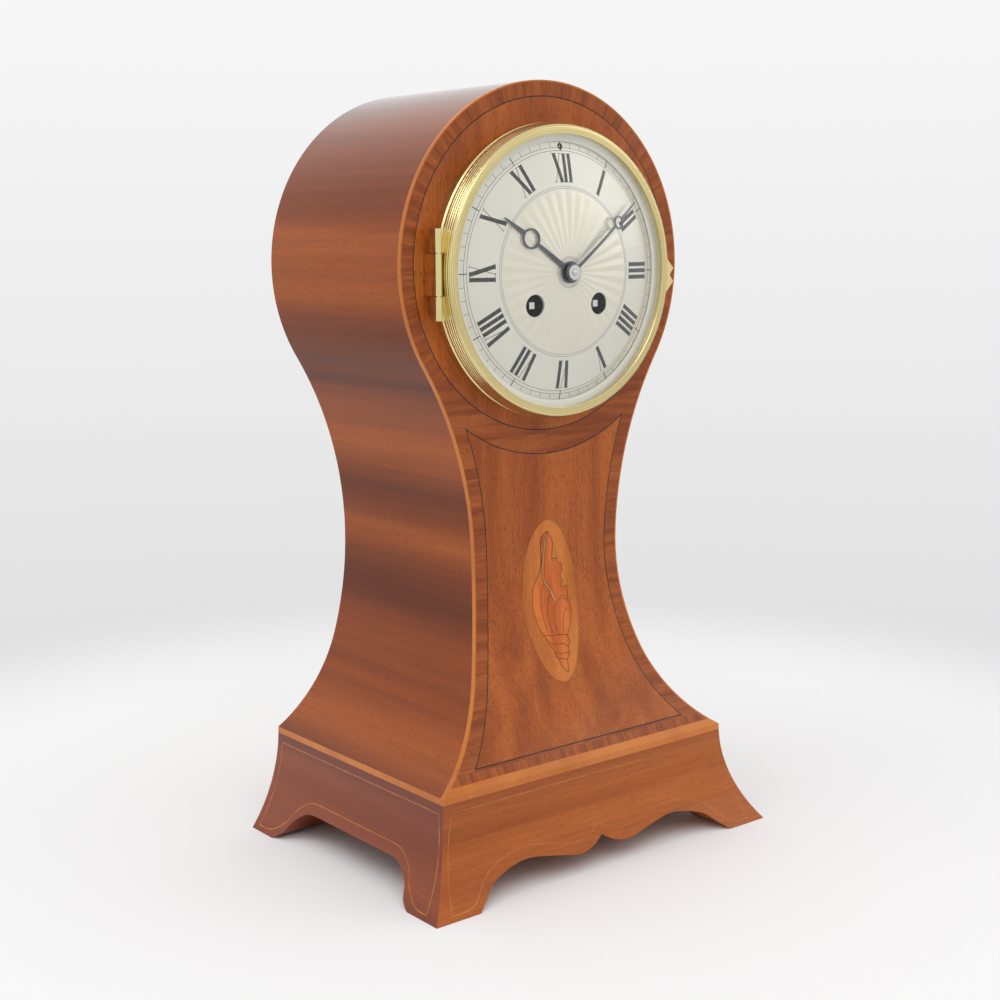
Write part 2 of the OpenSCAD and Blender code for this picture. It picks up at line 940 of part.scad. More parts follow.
// notched thumbpiece on the right of the bezel
module bezel_catch() {
    catch_half = 8.4;
    catch_drop = 2.5;
    tip = 3.2;
    tip_out = 4.9;
    catch_o = bezel_base + 4.2;
    catch_t = 1.6;
    color("gold")
        at([0, 0], -catch_o - catch_t, -catch_o)
            difference() {
                translate([0, -catch_drop])
                    polygon([[bezel_r - 3, catch_half + 1], [bezel_r - 3, -catch_half - 1], [bezel_r, -catch_half],
                        [bezel_r + tip_out, -tip], [bezel_r + tip_out / 2, 0], [bezel_r + tip_out, tip],
                        [bezel_r, catch_half]]);
                circle(bezel_r - 0.45);
            }
}

// convex plate with its feet
module dial() {
    color("whitesmoke")
        difference() {
            union() {
                turned()
                    intersection() {
                        translate([0, dial_dome - dial_front])
                            difference() {
                                circle(dial_dome, $fn = 180);
                                circle(dial_dome - dial_t, $fn = 180);
                            }
                        span(0, dial_r, -dial_front - 1, 0);
                    }
                intersection() {
                    for (a = feet_angles)
                        at(feet_at * [cos(a), sin(a)], -dial_front, plate_front)
                            circle(foot_r);
                    turned()
                        intersection() {
                            translate([0, dial_dome - dial_front])
                                circle(dial_dome - dial_t / 2, $fn = 180);
                            span(0, dial_r, -dial_front - 1, 0);
                        }
                }
            }
            for (x = [-wind_x, wind_x])
                at([x, -wind_drop], -dial_front - 1, 0)
                    circle(wind_hole_r);
            at([0, 0], -dial_front - 1, 0)
                circle(hour_pipe_r + 0.8);
            at(regulator_at, -dial_front - 1, 0)
                circle(1.5);
        }
}

// pierced ring hand: boss, stem, ring and pointed tip
module moon_hand(length, ring_at, ring_r, boss_r, stem) {
    stem_end = ring_at - ring_r + 0.5;
    tip_start = ring_at + ring_r - 0.5;
    difference() {
        union() {
            circle(boss_r);
            translate([ring_at, 0])
                circle(ring_r);
            polygon([[0, -stem], [stem_end, -0.6 * stem], [stem_end, 0.6 * stem], [0, stem]]);
            polygon([[tip_start, -stem], [length, -0.15], [length, 0.15], [tip_start, stem]]);
        }
        translate([ring_at + 0.1, 0])
            circle(ring_r - 0.8);
    }
}

// a flat shape bent to the dome of the dial, with its middle at a depth
module bent(p) {
    intersection() {
        at([0, 0], p - 1, 0)
            children();
        turned()
            intersection() {
                translate([0, dial_dome - dial_front])
                    difference() {
                        circle(dial_dome - dial_front - p, $fn = 180);
                        circle(dial_dome - dial_front - p - hand_t, $fn = 180);
                    }
                span(0, dial_r, p - 1, 0);
            }
    }
}

module hour_hand() {
    color("dimgray")
        bent(hour_hand_p)
            rotate(90 - 30 * show_hour - show_minute / 2)
                difference() {
                    moon_hand(hour_len, hour_len * 0.62, 4.6, hour_pipe_r + 2.1, 1.1);
                    circle(hour_pipe_r);
                }
}

module minute_hand() {
    color("dimgray")
        bent(minute_hand_p)
            rotate(90 - 6 * show_minute)
                difference() {
                    moon_hand(minute_len, minute_len * 0.7, 3.1, cannon_r + 2.2, 0.7);
                    circle(cannon_r);
                }
}

module hand_nut() {
    color("silver")
        turned()
            difference() {
                union() {
                    span(0, cannon_r + 1.5, minute_hand_p - 0.9, minute_hand_p);
                    translate([0, minute_hand_p - 0.9])
                        intersection() {
                            circle(nut_t - 0.9);
                            span(0, far, -far, 0);
                        }
                }
                span(0, arbor_r + 0.3, minute_hand_p - 1.4, minute_hand_p);
            }
}

// holes of both plates for the arbors that run in them
module pivot_holes(p0, p1) {
    for (place = [inter_at, second_at, third_at, escape_at, pin_at, fly_at])
        at(place, p0, p1)
            circle(pivot_r + fit);
    for (place = [going_at, striking_at])
        at(place, p0, p1)
            circle(wind_pivot_r + fit);
}

// front plate with the studs of the minute wheel and the clicks
module front_plate() {
    color("khaki") {
        difference() {
            at([0, 0], plate_front, gap_front) {
                circle(plate_r);
                translate(regulator_at)
                    circle(2.6);
                translate([-2.6, 0])
                    square([5.2, regulator_at[1]]);
            }
            pivot_holes(plate_front - 1, gap_front + 1);
            for (place = [anchor_at, hammer_at])
                at(place, plate_front - 1, gap_front + 1)
                    circle(pivot_r + fit);
            at([0, 0], plate_front - 1, gap_front + 1)
                circle(centre_r + fit);
            at(regulator_at, plate_front - 1, gap_front + 1)
                circle(arbor_r + fit);
        }
        at(minute_at, minute_pinion_p - 0.4, plate_front)
            circle(stud_r);
        for (s = [-1, 1])
            at(click_place(s), ratchet_p - 0.4, plate_front)
                circle(stud_r);
    }
}

function click_place(s) = [s * (wind_x + click_at * cos(-20)), -wind_drop + click_at * sin(-20)];

// back plate with its four pillars
module back_plate() {
    color("khaki")
        difference() {
            union() {
                at([0, 0], plate_back, plates_end)
                    circle(plate_r);
                for (a = pillar_angles)
                    at(pillar_at * [cos(a), sin(a)], gap_front, plate_back)
                        circle(pillar_r);
            }
            pivot_holes(plate_back - 1, plates_end + 1);
            at([0, 0], plate_back - 1, plates_end + 1)
                circle(pivot_r + fit);
            for (place = [anchor_at, hammer_at])
                at(place, plate_back - 1, plates_end + 1)
                    circle(arbor_r + fit);
        }
}

// two screws through the back ring into the strap ears
module strap_screws() {
    color("silver")
        for (x = [-ear_x, ear_x])
            turned([x, 0]) {
                span(0, screw_r, strap_end - ear_t, drum_depth + back_ring_t);
                span(0, screw_r + 1, drum_depth + back_ring_t, drum_depth + back_ring_t + 1);
            }
}

// spring barrel with its teeth
module barrel(place, mesh) {
    color("khaki") {
        turned(place) {
            span(barrel_r - 1, barrel_r, barrel_at, barrel_end);
            span(wind_arbor_r + fit, barrel_r, barrel_at, barrel_at + 1.2);
            span(wind_arbor_r + fit, barrel_r, barrel_end - 1.2, barrel_end);
        }
        at(place, barrel_end - barrel_teeth_t, barrel_end)
            difference() {
                toothed(barrel_n, barrel_m, toward(place, mesh));
                circle(barrel_r - 0.5);
            }
    }
}

// winding arbor with its ratchet and square
module winding_arbor(place) {
    color("silver") {
        turned(place) {
            span(0, wind_arbor_r, gap_front + shoulder, plate_back - shoulder);
            span(0, wind_pivot_r, ratchet_p - 0.5, plates_end);
        }
        at(place, ratchet_p, ratchet_p + ratchet_t)
            polygon([for (i = [0:23], k = [[0, 0], [0.05, -1.2]])
                let (a = (i + k[0]) * 15)
                (ratchet_r + k[1]) * [cos(a), sin(a)]]);
        at(place, square_front, ratchet_p)
            square(square_w, center = true);
    }
}

module mainspring(place) {
    spring_r0 = wind_arbor_r + 0.6;
    spring_t = 0.35;
    halves = 12;
    color("slategray")
        coil(place, barrel_end - 1.8, spring_r0, (barrel_r - 2 - spring_t - spring_r0) / halves, halves)
            square([spring_t, barrel_len - 3.6]);
}

// click beside the ratchet of the going side, just clear of the teeth
module going_click() {
    hub = click_at * [cos(-20), sin(-20)];
    tip = (ratchet_r + 0.4) * [cos(30), sin(30)] - hub;
    color("silver")
        at(click_place(1), ratchet_p, ratchet_p + ratchet_t)
            difference() {
                union() {
                    circle(stud_r + 1.2);
                    polygon([[-1.4, 0], [1.9, 0], tip + [1.6, 0.6], tip]);
                }
                circle(stud_r + fit);
            }
}

module strike_click() {
    mirror([1, 0, 0])
        going_click();
}

module going_barrel() {
    barrel(going_at, inter_at);
}

module strike_barrel() {
    barrel(striking_at, second_at);
}

module going_arbor() {
    winding_arbor(going_at);
}

module strike_arbor() {
    winding_arbor(striking_at);
}

module going_spring() {
    mainspring(going_at);
}

module strike_spring() {
    mainspring(striking_at);
}

// a wheel at one depth and a pinion over a stretch of depth, both fixed to an arbor between the plates
module wheel_and_pinion(place, n, m, mesh, wheel_p, pinion, pinion_m, driver, p0, p1) {
    color("khaki") {
        arbor(place);
        at(place, wheel_p, wheel_p + wheel_t)
            crossed(n, m, toward(place, mesh), arbor_r + 1.6);
        at(place, p0, p1)
            toothed(pinion, pinion_m, toward(place, driver) + 180 / pinion);
    }
}

module intermediate_wheel() {
    wheel_and_pinion(inter_at, inter_n, barrel_m, [0, 0], inter_p, pinion_n, barrel_m, going_at,
        barrel_end - barrel_teeth_t - 0.4, barrel_end + 0.4);
}

module strike_wheel() {
    wheel_and_pinion(second_at, inter_n, barrel_m, pin_at, strike_p, pinion_n, barrel_m, striking_at,
        barrel_end - barrel_teeth_t - 0.4, barrel_end + 0.4);
}

module third_wheel() {
    wheel_and_pinion(third_at, third_n, train_m, escape_at, third_p, third_pinion_n, train_m, [0, 0],
        centre_p - 0.4, centre_p + wheel_t + 0.4);
}

// pin wheel with the eight pins that lift the hammer
module pin_wheel() {
    wheel_and_pinion(pin_at, pin_n, train_m, fly_at, pin_p, pin_pinion_n, barrel_m, second_at,
        strike_p - 0.4, strike_p + wheel_t + 0.4);
    color("silver")
        for (a = [0:45:315])
            at(pin_at + 9.8 * [cos(a), sin(a)], pin_p + wheel_t, pin_p + wheel_t + 2)
                circle(0.5);
}

// centre arbor with its pinion, wheel and the cannon pinion that carries the minute hand
module centre_wheel() {
    color("khaki") {
        turned() {
            span(0, centre_r, cannon_p, plate_back - shoulder);
            span(0, pivot_r, plate_back - shoulder - 1, plates_end);
            span(0, cannon_r, minute_hand_p, cannon_p + cannon_t);
            span(0, arbor_r + 0.3, minute_hand_p - 1.3, minute_hand_p);
        }
        at([0, 0], inter_p - 0.4, inter_p + wheel_t + 0.4)
            toothed(centre_pinion_n, barrel_m, toward([0, 0], inter_at) + 180 / centre_pinion_n);
        at([0, 0], centre_p, centre_p + wheel_t)
            crossed(centre_n, train_m, toward([0, 0], third_at), centre_r + 1.6);
        at([0, 0], cannon_p, cannon_p + cannon_t)
            toothed(cannon_n, motion_m, toward([0, 0], minute_at));
    }
}

module minute_wheel() {
    color("khaki")
        difference() {
            union() {
                at(minute_at, minute_wheel_p, minute_wheel_p + wheel_t)
                    toothed(minute_wheel_n, motion_m, toward(minute_at, [0, 0]) + 180 / minute_wheel_n);
                at(minute_at, minute_pinion_p, minute_wheel_p)
                    toothed(minute_pinion_n, hour_m, toward(minute_at, [0, 0]));
            }
            at(minute_at, minute_pinion_p - 1, minute_wheel_p + wheel_t + 1)
                circle(stud_r + fit);
        }
}

module hour_wheel() {
    color("khaki")
        difference() {
            union() {
                at([0, 0], hour_wheel_p, hour_wheel_p + wheel_t)
                    toothed(hour_n, hour_m, toward([0, 0], minute_at) + 180 / hour_n);
                turned()
                    span(0, hour_pipe_r, hour_hand_p, hour_wheel_p);
            }
            turned()
                span(0, cannon_r + fit, hour_hand_p - 1, hour_wheel_p + wheel_t + 1);
        }
}

module escape_wheel() {
    color("khaki") {
        arbor(escape_at);
        at(escape_at, escape_p, escape_p + wheel_t) {
            difference() {
                polygon([for (i = [0:escape_n - 1], k = [[0, 0], [0.3, -1.4], [0.8, -1.4]])
                    let (a = (i + k[0]) * 360 / escape_n)
                    (escape_r + k[1]) * [cos(a), sin(a)]]);
                circle(escape_r - 2.6);
            }
            for (a = [0, 90])
                rotate(a)
                    square([2 * escape_r - 5, 1.2], center = true);
            circle(arbor_r + 1.2);
        }
        at(escape_at, third_p - 0.4, third_p + wheel_t + 0.4)
            toothed(escape_pinion_n, train_m, toward(escape_at, third_at) + 180 / escape_pinion_n);
    }
}

// pallets on their arbor, with the crutch that holds the pendulum rod
module anchor() {
    pallet = escape_r + 1.1;
    reach = pallet * [sin(40), cos(40)] - [0, anchor_rise];
    fork_in = rod_r + 0.3;
    color("silver") {
        turned(anchor_at) {
            span(0, arbor_r, gap_front + shoulder, plates_end + 3.2);
            span(0, pivot_r, plate_front, gap_front + shoulder);
        }
        at(anchor_at, escape_p, escape_p + wheel_t) {
            circle(arbor_r + 1.2);
            for (s = [0, 1])
                mirror([s, 0])
                    polygon([[0, 1.6], [reach[0] + 2.2, reach[1] + 2.6], [reach[0] + 1.6, reach[1]],
                        reach, [reach[0] + 0.4, reach[1] + 2], [0, -1.4]]);
        }
        at(anchor_at, plates_end + 2, plates_end + 3.2) {
            translate([-1.5, -crutch_len])
                square([3, crutch_len + 1.5]);
            translate([-fork_in - 1.2, -crutch_len])
                square([2 * fork_in + 2.4, 3]);
        }
        for (s = [-1, 1])
            at(anchor_at + [s * (fork_in + 0.6), 1.5 - crutch_len], plates_end + 3.2 - eps, rod_p + 2)
                square([1.2, 3], center = true);
    }
}

// cock on the back plate, with the slot that holds the suspension spring
module suspension_cock() {
    chop = [0, 0, dial_z + anchor_at[1]];
    color("khaki")
        difference() {
            union() {
                translate(chop)
                    block([-5, face_y + plates_end, 2.6], [5, face_y + rod_p + 4, 8]);
                translate(chop)
                    block([-4, face_y + rod_p - 3.5, -0.5], [4, face_y + rod_p + 4, 2.6]);
                block([-3, face_y + plates_end, dial_z + anchor_at[1] + 8],
                    [3, face_y + plates_end + 2.5, dial_z + regulator_at[1] + 2.4]);
            }
            translate(chop)
                block([-0.15 - swing_clear, face_y + rod_p - 4, -1], [0.15 + swing_clear, face_y + rod_p + 5, 2.6]);
            at(regulator_at, plates_end - 1, plates_end + 4)
                circle(arbor_r + fit);
        }
}

module suspension_spring() {
    color("slategray")
        translate([0, 0, dial_z + anchor_at[1]])
            block([-0.15, face_y + rod_p - 2.5, -5], [0.15, face_y + rod_p + 2.5, 2.3]);
}

// rod with its top hook and the rating nut under the bob
module pendulum_rod() {
    rod_end = pendulum_len + bob_r + 7;
    color("gold")
        translate([0, face_y + rod_p, dial_z + anchor_at[1]]) {
            translate([0, 0, -rod_end])
                cylinder(r = rod_r, h = rod_end - 7);
            block([-2, -2.5, -9], [2, 2.5, -5]);
            translate([0, 0, -pendulum_len - bob_r - 3])
                cylinder(r = 3, h = 2.5);
        }
}

module pendulum_bob() {
    color("gold")
        difference() {
            turned(anchor_at - [0, pendulum_len])
                polygon([[0, rod_p - bob_half], [bob_r * 0.5, rod_p - bob_half], [bob_r, rod_p - 0.8],
                    [bob_r, rod_p + 0.8], [bob_r * 0.5, rod_p + bob_half], [0, rod_p + bob_half]]);
            translate([0, face_y + rod_p, dial_z + anchor_at[1] - pendulum_len - 2 * bob_r])
                cylinder(r = rod_r, h = 4 * bob_r);
        }
}

// arbor that sets the rate from the front of the dial
module regulator_arbor() {
    color("silver") {
        turned(regulator_at)
            span(0, arbor_r, plate_front - 1, plates_end + 3);
        at(regulator_at, -dial_front + 7, plate_front - 1)
            square(1.2, center = true);
    }
}

module fly() {
    vane_p = gap_front + 17;
    vane = [11, 0.6];
    vane_len = 14;
    color("silver") {
        arbor(fly_at);
        at(fly_at, vane_p, vane_p + vane_len)
            square(vane, center = true);
        at(fly_at, pin_p - 0.4, pin_p + wheel_t + 0.4)
            toothed(fly_pinion_n, train_m, toward(fly_at, pin_at) + 180 / fly_pinion_n);
    }
}

// hammer on its arbor, with the tail that the pins lift
module hammer() {
    head_r = 3.5;
    coil_x = gong_r0 + (gong_halves - 1) * gong_grow;
    head = gong_at + [-coil_x - gong_r - hammer_gap - head_r, -gong_grow] - hammer_at;
    tail = 7 * (pin_at - hammer_at) / norm(pin_at - hammer_at);
    color("silver") {
        turned(hammer_at) {
            span(0, arbor_r, gap_front + shoulder, gong_p + 2);
            span(0, pivot_r, plate_front, gap_front + shoulder);
        }
        at(hammer_at, gong_p - 1, gong_p + 1)
            polygon([[-1.4, 1.4], [1.4, 1.4], head + [1, 0], head - [1, 0]]);
        at(hammer_at + head, gong_p - 3, gong_p + 3)
            circle(head_r);
        at(hammer_at, pin_p + wheel_t + 0.6, pin_p + wheel_t + 2)
            polygon([[-1.5, 0], [1.5, -1], tail + [0.4, -0.4], tail + [-0.4, 0.4]]);
    }
}

// wound steel rod
module gong() {
    color("slategray")
        coil(gong_at, gong_p, gong_r0, gong_grow, gong_halves, -90)
            circle(gong_r);
}

// foot that carries the end of the gong from the back board
module gong_block() {
    gong_z = dial_z + gong_at[1] - gong_r0 - gong_halves * gong_grow;
    foot_z = dial_z - back_hole_r - 18;
    foot_h = 13;
    block_w = 9;
    half = 4;
    color("dimgray") {
        block([0, face_y + gong_p - half, foot_z], [block_w, face_y + gong_p + half, gong_z + half]);
        block([0, face_y + gong_p + half - eps, foot_z], [block_w, face_y + back_front, foot_z + foot_h]);
    }
}

// a knuckle of the back door hinge with the leaf that carries it
module door_leaf(z0, z1, p0, p1) {
    translate([door_hinge_x, face_y + door_hinge_p, dial_z + z0])
        cylinder(r = door_hinge_r, h = z1 - z0);
    block([door_glass_r + 4, face_y + p0, dial_z + z0], [door_hinge_x, face_y + p1, dial_z + z1]);
}

module door_bore(r) {
    translate([door_hinge_x, face_y + door_hinge_p, dial_z - hinge_len])
        cylinder(r = r, h = 2 * hinge_len);
}

// ring on the back board that takes the strap screws, with a hinge knuckle and the lug of the turn button
module back_ring() {
    color("gold")
        difference() {
            union() {
                turned()
                    span(ear_x - 5, door_r + 0.5, drum_depth, drum_depth + back_ring_t);
                door_leaf(-knuckle_mid / 2, knuckle_mid / 2, drum_depth, drum_depth + back_ring_t);
                at([0, 0], drum_depth, drum_depth + back_ring_t)
                    translate([button_x - 4, -4])
                        square([12, 8]);
            }
            door_bore(hinge_pin_r);
            at([button_x, 0], drum_depth - 1, drum_depth + back_ring_t + 1)
                circle(rod_r + fit);
            for (x = [-ear_x, ear_x])
                at([x, 0], drum_depth - 1, drum_depth + back_ring_t + 1)
                    circle(screw_r);
        }
}

module back_door() {
    color("gold")
        difference() {
            union() {
                turned() {
                    span(door_glass_r - 1.5, door_r, door_p, door_p + 1.2);
                    span(door_glass_r, door_r, door_p, door_p + door_t);
                }
                for (s = [0, 1])
                    translate([0, 0, 2 * s * dial_z])
                        mirror([0, 0, s])
                            door_leaf(knuckle_mid / 2 + knuckle_gap, hinge_len / 2, door_p + 0.1, door_p + 1.8);
            }
            door_bore(hinge_pin_r + fit);
        }
}

module back_glass() {
    color("lightcyan", 0.3)
        turned()
            span(0, door_glass_r, door_p + 1.2, door_p + 2.6);
}

// turn button beside the door, drawn clear of it
module turn_button() {
    color("gold") {
        turned([button_x, 0]) {
            span(0, rod_r, drum_depth + 0.4, button_p);
            span(0, 2.2, button_p, drum_depth + button_out);
        }
        at([button_x, 0], button_p, button_p + 1.6)
            square([5, 13], center = true);
    }
}

carcass_wall();
side_veneer();
front_board();
field_veneer();
crossbanding();
ebony_lines();
box_edging();
shell_ground();
shell_inlay();
back_board();
case_floor();
front_apron();
left_apron();
right_apron();
rear_apron();
plinth_edging();
apron_stringing();
bezel_seat();
bezel_ring();
sight_ring();
bezel_glass();
hinge_pins();
bezel_catch();
dial();
hour_hand();
minute_hand();
hand_nut();
front_plate();
back_plate();
strap_screws();
going_barrel();
going_arbor();
going_spring();
going_click();
intermediate_wheel();
centre_wheel();
minute_wheel();
hour_wheel();
third_wheel();
escape_wheel();
anchor();
suspension_cock();
suspension_spring();
pendulum_rod();
pendulum_bob();
regulator_arbor();
strike_barrel();
strike_arbor();
strike_spring();
strike_click();
strike_wheel();
pin_wheel();
fly();
hammer();
gong();
gong_block();
back_ring();
back_door();
back_glass();
turn_button();
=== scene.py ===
import json
import math
import bpy
import bmesh
from mathutils import Vector, Matrix


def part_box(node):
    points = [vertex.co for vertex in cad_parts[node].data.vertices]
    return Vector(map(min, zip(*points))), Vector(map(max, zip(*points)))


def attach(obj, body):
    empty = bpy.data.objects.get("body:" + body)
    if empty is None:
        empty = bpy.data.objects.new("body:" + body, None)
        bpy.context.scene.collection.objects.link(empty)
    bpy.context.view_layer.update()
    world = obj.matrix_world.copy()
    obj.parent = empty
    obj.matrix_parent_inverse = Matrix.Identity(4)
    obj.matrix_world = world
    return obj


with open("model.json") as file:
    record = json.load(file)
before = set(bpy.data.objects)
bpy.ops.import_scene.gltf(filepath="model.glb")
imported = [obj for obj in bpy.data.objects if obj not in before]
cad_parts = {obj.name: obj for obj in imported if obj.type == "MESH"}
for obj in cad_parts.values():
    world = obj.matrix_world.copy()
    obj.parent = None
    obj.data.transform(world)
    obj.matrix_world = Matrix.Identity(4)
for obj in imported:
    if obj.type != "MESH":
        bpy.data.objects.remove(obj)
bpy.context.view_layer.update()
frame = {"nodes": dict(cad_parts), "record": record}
nodes = frame["nodes"]
mm = 0.001
print("frame loaded", len(nodes), "nodes")

# camera: angles in degrees, places in millimetres
cameraSet = {"azimuth": -38.9, "elevation": 9.4, "roll": -0.3, "distance": 804.1,
             "target": (14.3, 19.5, 159.8), "lens": 57.48, "sensor": 36, "near": 10}


def turned(toward, roll=0.0):
    turn = toward.to_track_quat("Z", "Y") @ Matrix.Rotation(math.radians(roll), 3, "Z").to_quaternion()
    return turn.to_matrix().to_4x4()


def makeCamera(n):
    az = math.radians(n["azimuth"])
    el = math.radians(n["elevation"])
    back = Vector((math.sin(az) * math.cos(el), -math.cos(az) * math.cos(el), math.sin(el)))
    data = bpy.data.cameras.new("camera")
    data.lens = n["lens"]
    data.sensor_width = n["sensor"]
    data.clip_start = n["near"] * mm
    camera = bpy.data.objects.new("camera", data)
    bpy.context.scene.collection.objects.link(camera)
    place = Vector(n["target"]) * mm + back * n["distance"] * mm
    camera.matrix_world = Matrix.Translation(place) @ turned(back, n["roll"])
    bpy.context.scene.camera = camera


# lamps: place, size and power, all aimed at the middle of the case
lightSet = {"aim": (0, 0, 170),
            "lamps": {"key": ((-650, -900, 1250), (900, 700), 2.9),
                      "side": ((-900, 250, 1200), (700, 500), 1.8),
                      "fill": ((1000, -600, 700), (700, 700), 0.9)}}


def makeLamp(name, place, size, power):
    data = bpy.data.lights.new(name, "AREA")
    data.shape = "RECTANGLE"
    data.size = size[0] * mm
    data.size_y = size[1] * mm
    data.energy = power
    piece = bpy.data.objects.new(name, data)
    where = Vector(place) * mm
    piece.matrix_world = Matrix.Translation(where) @ turned(where - Vector(lightSet["aim"]) * mm)
    bpy.context.scene.collection.objects.link(piece)


makeCamera(cameraSet)
bpy.context.scene.view_settings.view_transform = "Standard"
for name, settings in lightSet["lamps"].items():
    makeLamp(name, *settings)

# soft room: bright overhead, dimmer towards the horizon, a pale backdrop where the camera sees it, painted
# darker towards the horizon as shade
worldSet = {"low": (-0.27, 0.741), "high": (0.13, 0.929),
            "stops": ((0.0, 0.75), (0.48, 0.75), (0.5, 0.3), (0.61, 0.45), (0.75, 0.86), (1.0, 1.15))}


def setStops(ramp, stops):
    row = ramp.color_ramp.elements
    while len(row) < len(stops):
        row.new(0.5)
    for item, (where, colour) in zip(row, stops):
        item.position = where
        item.color = (*colour, 1)


def makeWorld(n):
    world = bpy.data.worlds.new("studio")
    bpy.context.scene.world = world
    world.use_nodes = True
    tree = world.node_tree
    place = tree.nodes.new("ShaderNodeTexCoord")
    split = tree.nodes.new("ShaderNodeSeparateXYZ")
    tree.links.new(place.outputs["Generated"], split.inputs[0])
    ramp = tree.nodes.new("ShaderNodeValToRGB")
    half = tree.nodes.new("ShaderNodeMapRange")
    half.inputs["From Min"].default_value = -1.0
    tree.links.new(split.outputs["Z"], half.inputs["Value"])
    tree.links.new(half.outputs[0], ramp.inputs["Fac"])
    setStops(ramp, [(where, (level,) * 3) for where, level in n["stops"]])
    room = tree.nodes["Background"]
    tree.links.new(ramp.outputs["Color"], room.inputs["Color"])
    room.inputs["Strength"].default_value = 1.0
    seen = tree.nodes.new("ShaderNodeBackground")
    # painted shade: the backdrop the camera sees grows darker towards the horizon
    sweep = tree.nodes.new("ShaderNodeMapRange")
    for end, (where, level) in (("Min", n["low"]), ("Max", n["high"])):
        sweep.inputs["From " + end].default_value = where
        sweep.inputs["To " + end].default_value = level
    tree.links.new(split.outputs["Z"], sweep.inputs["Value"])
    tree.links.new(sweep.outputs[0], seen.inputs["Color"])
    seen.inputs["Strength"].default_value = 1.0
    path = tree.nodes.new("ShaderNodeLightPath")
    either = path.outputs["Is Camera Ray"]
    for kind in ("Is Glossy Ray", "Is Transmission Ray"):
        pick = tree.nodes.new("ShaderNodeMath")
        pick.operation = "MAXIMUM"
        tree.links.new(either, pick.inputs[0])
        tree.links.new(path.outputs[kind], pick.inputs[1])
        either = pick.outputs[0]
    mix = tree.nodes.new("ShaderNodeMixShader")
    tree.links.new(either, mix.inputs[0])
    tree.links.new(room.outputs[0], mix.inputs[1])
    tree.links.new(seen.outputs[0], mix.inputs[2])
    tree.links.new(mix.outputs[0], tree.nodes["World Output"].inputs["Surface"])


makeWorld(worldSet)
print("camera, lamps and room set")


# small helpers for node materials
class Shade:
    def __init__(self, name):
        self.mat = bpy.data.materials.new(name)
        self.mat.use_nodes = True
        self.tree = self.mat.node_tree
        self.shader = self.tree.nodes["Principled BSDF"]
        self.place = self.add("ShaderNodeTexCoord").outputs["Object"]

    def add(self, kind, values=None, **props):
        node = self.tree.nodes.new(kind)
        for key, value in props.items():
            setattr(node, key, value)
        for key, value in (values or {}).items():
            self.put(node.inputs[key], value)
        return node

    def put(self, socket, value):
        if isinstance(value, bpy.types.NodeSocket):
            self.tree.links.new(value, socket)
        else:
            socket.default_value = value

    def maths(self, operation, a, b=0.0, c=0.0):
        node = self.add("ShaderNodeMath", operation=operation)
        for socket, value in zip(node.inputs, (a, b, c)):
            self.put(socket, value)
        return node.outputs[0]

    def scaled(self, source, scale):
        return self.add("ShaderNodeVectorMath", {0: source, 1: scale}, operation="MULTIPLY").outputs[0]

    def inMillimetres(self):
        return self.scaled(self.place, (1 / mm,) * 3)

    def noise(self, source, scale, detail=3.0, rough=0.55, lump=0.0):
        return self.add("ShaderNodeTexNoise", {"Vector": source, "Scale": scale, "Detail": detail,
                                               "Roughness": rough, "Distortion": lump}).outputs["Fac"]

    def ramp(self, factor, stops):
        node = self.add("ShaderNodeValToRGB", {"Fac": factor})
        setStops(node, stops)
        return node.outputs["Color"]

    def mix(self, factor, a, b, blend="MIX"):
        node = self.add("ShaderNodeMix", data_type="RGBA", blend_type=blend)
        self.put(node.inputs[0], factor)
        self.put(node.inputs[6], a if isinstance(a, bpy.types.NodeSocket) else (*a, 1))
        self.put(node.inputs[7], b if isinstance(b, bpy.types.NodeSocket) else (*b, 1))
        return node.outputs[2]

    def grey(self, factor, low, high):
        return self.add("ShaderNodeMapRange", {"Value": factor, "To Min": low, "To Max": high}).outputs[0]

    def bump(self, height, depth):
        node = self.add("ShaderNodeBump", {"Height": height, "Distance": depth * mm, "Strength": 1.0})
        self.put(self.shader.inputs["Normal"], node.outputs[0])

    def finish(self, **values):
        for key, value in values.items():
            self.put(self.shader.inputs[key.replace("_", " ")], value)
        return self.mat


# wood: where the bands and veins change, the size and tone of a pore, relief in millimetres
woodSet = {"bands": (0.36, 0.5, 0.62), "veins": (0.3, 0.66), "poreLong": 9, "poreScale": 2.6,
           "poreTone": 0.45, "relief": 0.012, "coatRough": 0.1, "specular": 0.12}


def wood(name, tones, grain, source=None, figure=28.0, streak=1.5, stretch=22.0, pores=0.5, fleck=0.3,
         rough=(0.3, 0.42), coat=0.45, poreCut=0.64):
    # broad soft bands along the grain, fine streaks over them, short dark pores on top
    s = Shade(name)
    place = source(s) if source else s.place
    squeeze = [1 / mm] * 3
    squeeze[grain] = 1 / mm / stretch
    run = s.scaled(place, squeeze)
    wide = s.noise(run, 1.0 / figure, 2.0, 0.45, 0.5)
    fine = s.noise(run, 1.0 / streak, 4.0, 0.6, 0.2)
    bands = s.ramp(wide, list(zip(woodSet["bands"], tones)))
    veins = s.ramp(fine, list(zip(woodSet["veins"], ((1 - fleck,) * 3, (1.0,) * 3))))
    colour = s.mix(1.0, bands, veins, "MULTIPLY")
    short = list(squeeze)
    short[grain] = 1 / mm / woodSet["poreLong"]
    pore = s.noise(s.scaled(place, short), woodSet["poreScale"], 1.0, 0.4)
    mark = s.maths("MULTIPLY", s.maths("GREATER_THAN", pore, poreCut), pores)
    colour = s.mix(mark, colour, tuple(c * woodSet["poreTone"] for c in tones[0]))
    s.bump(s.maths("SUBTRACT", fine, s.maths("MULTIPLY", mark, 0.5)), woodSet["relief"])
    return s.finish(Base_Color=colour, Roughness=s.grey(fine, *rough),
                    Coat_Weight=coat(s) if callable(coat) else coat,
                    Coat_Roughness=woodSet["coatRough"], Specular_IOR_Level=woodSet["specular"])
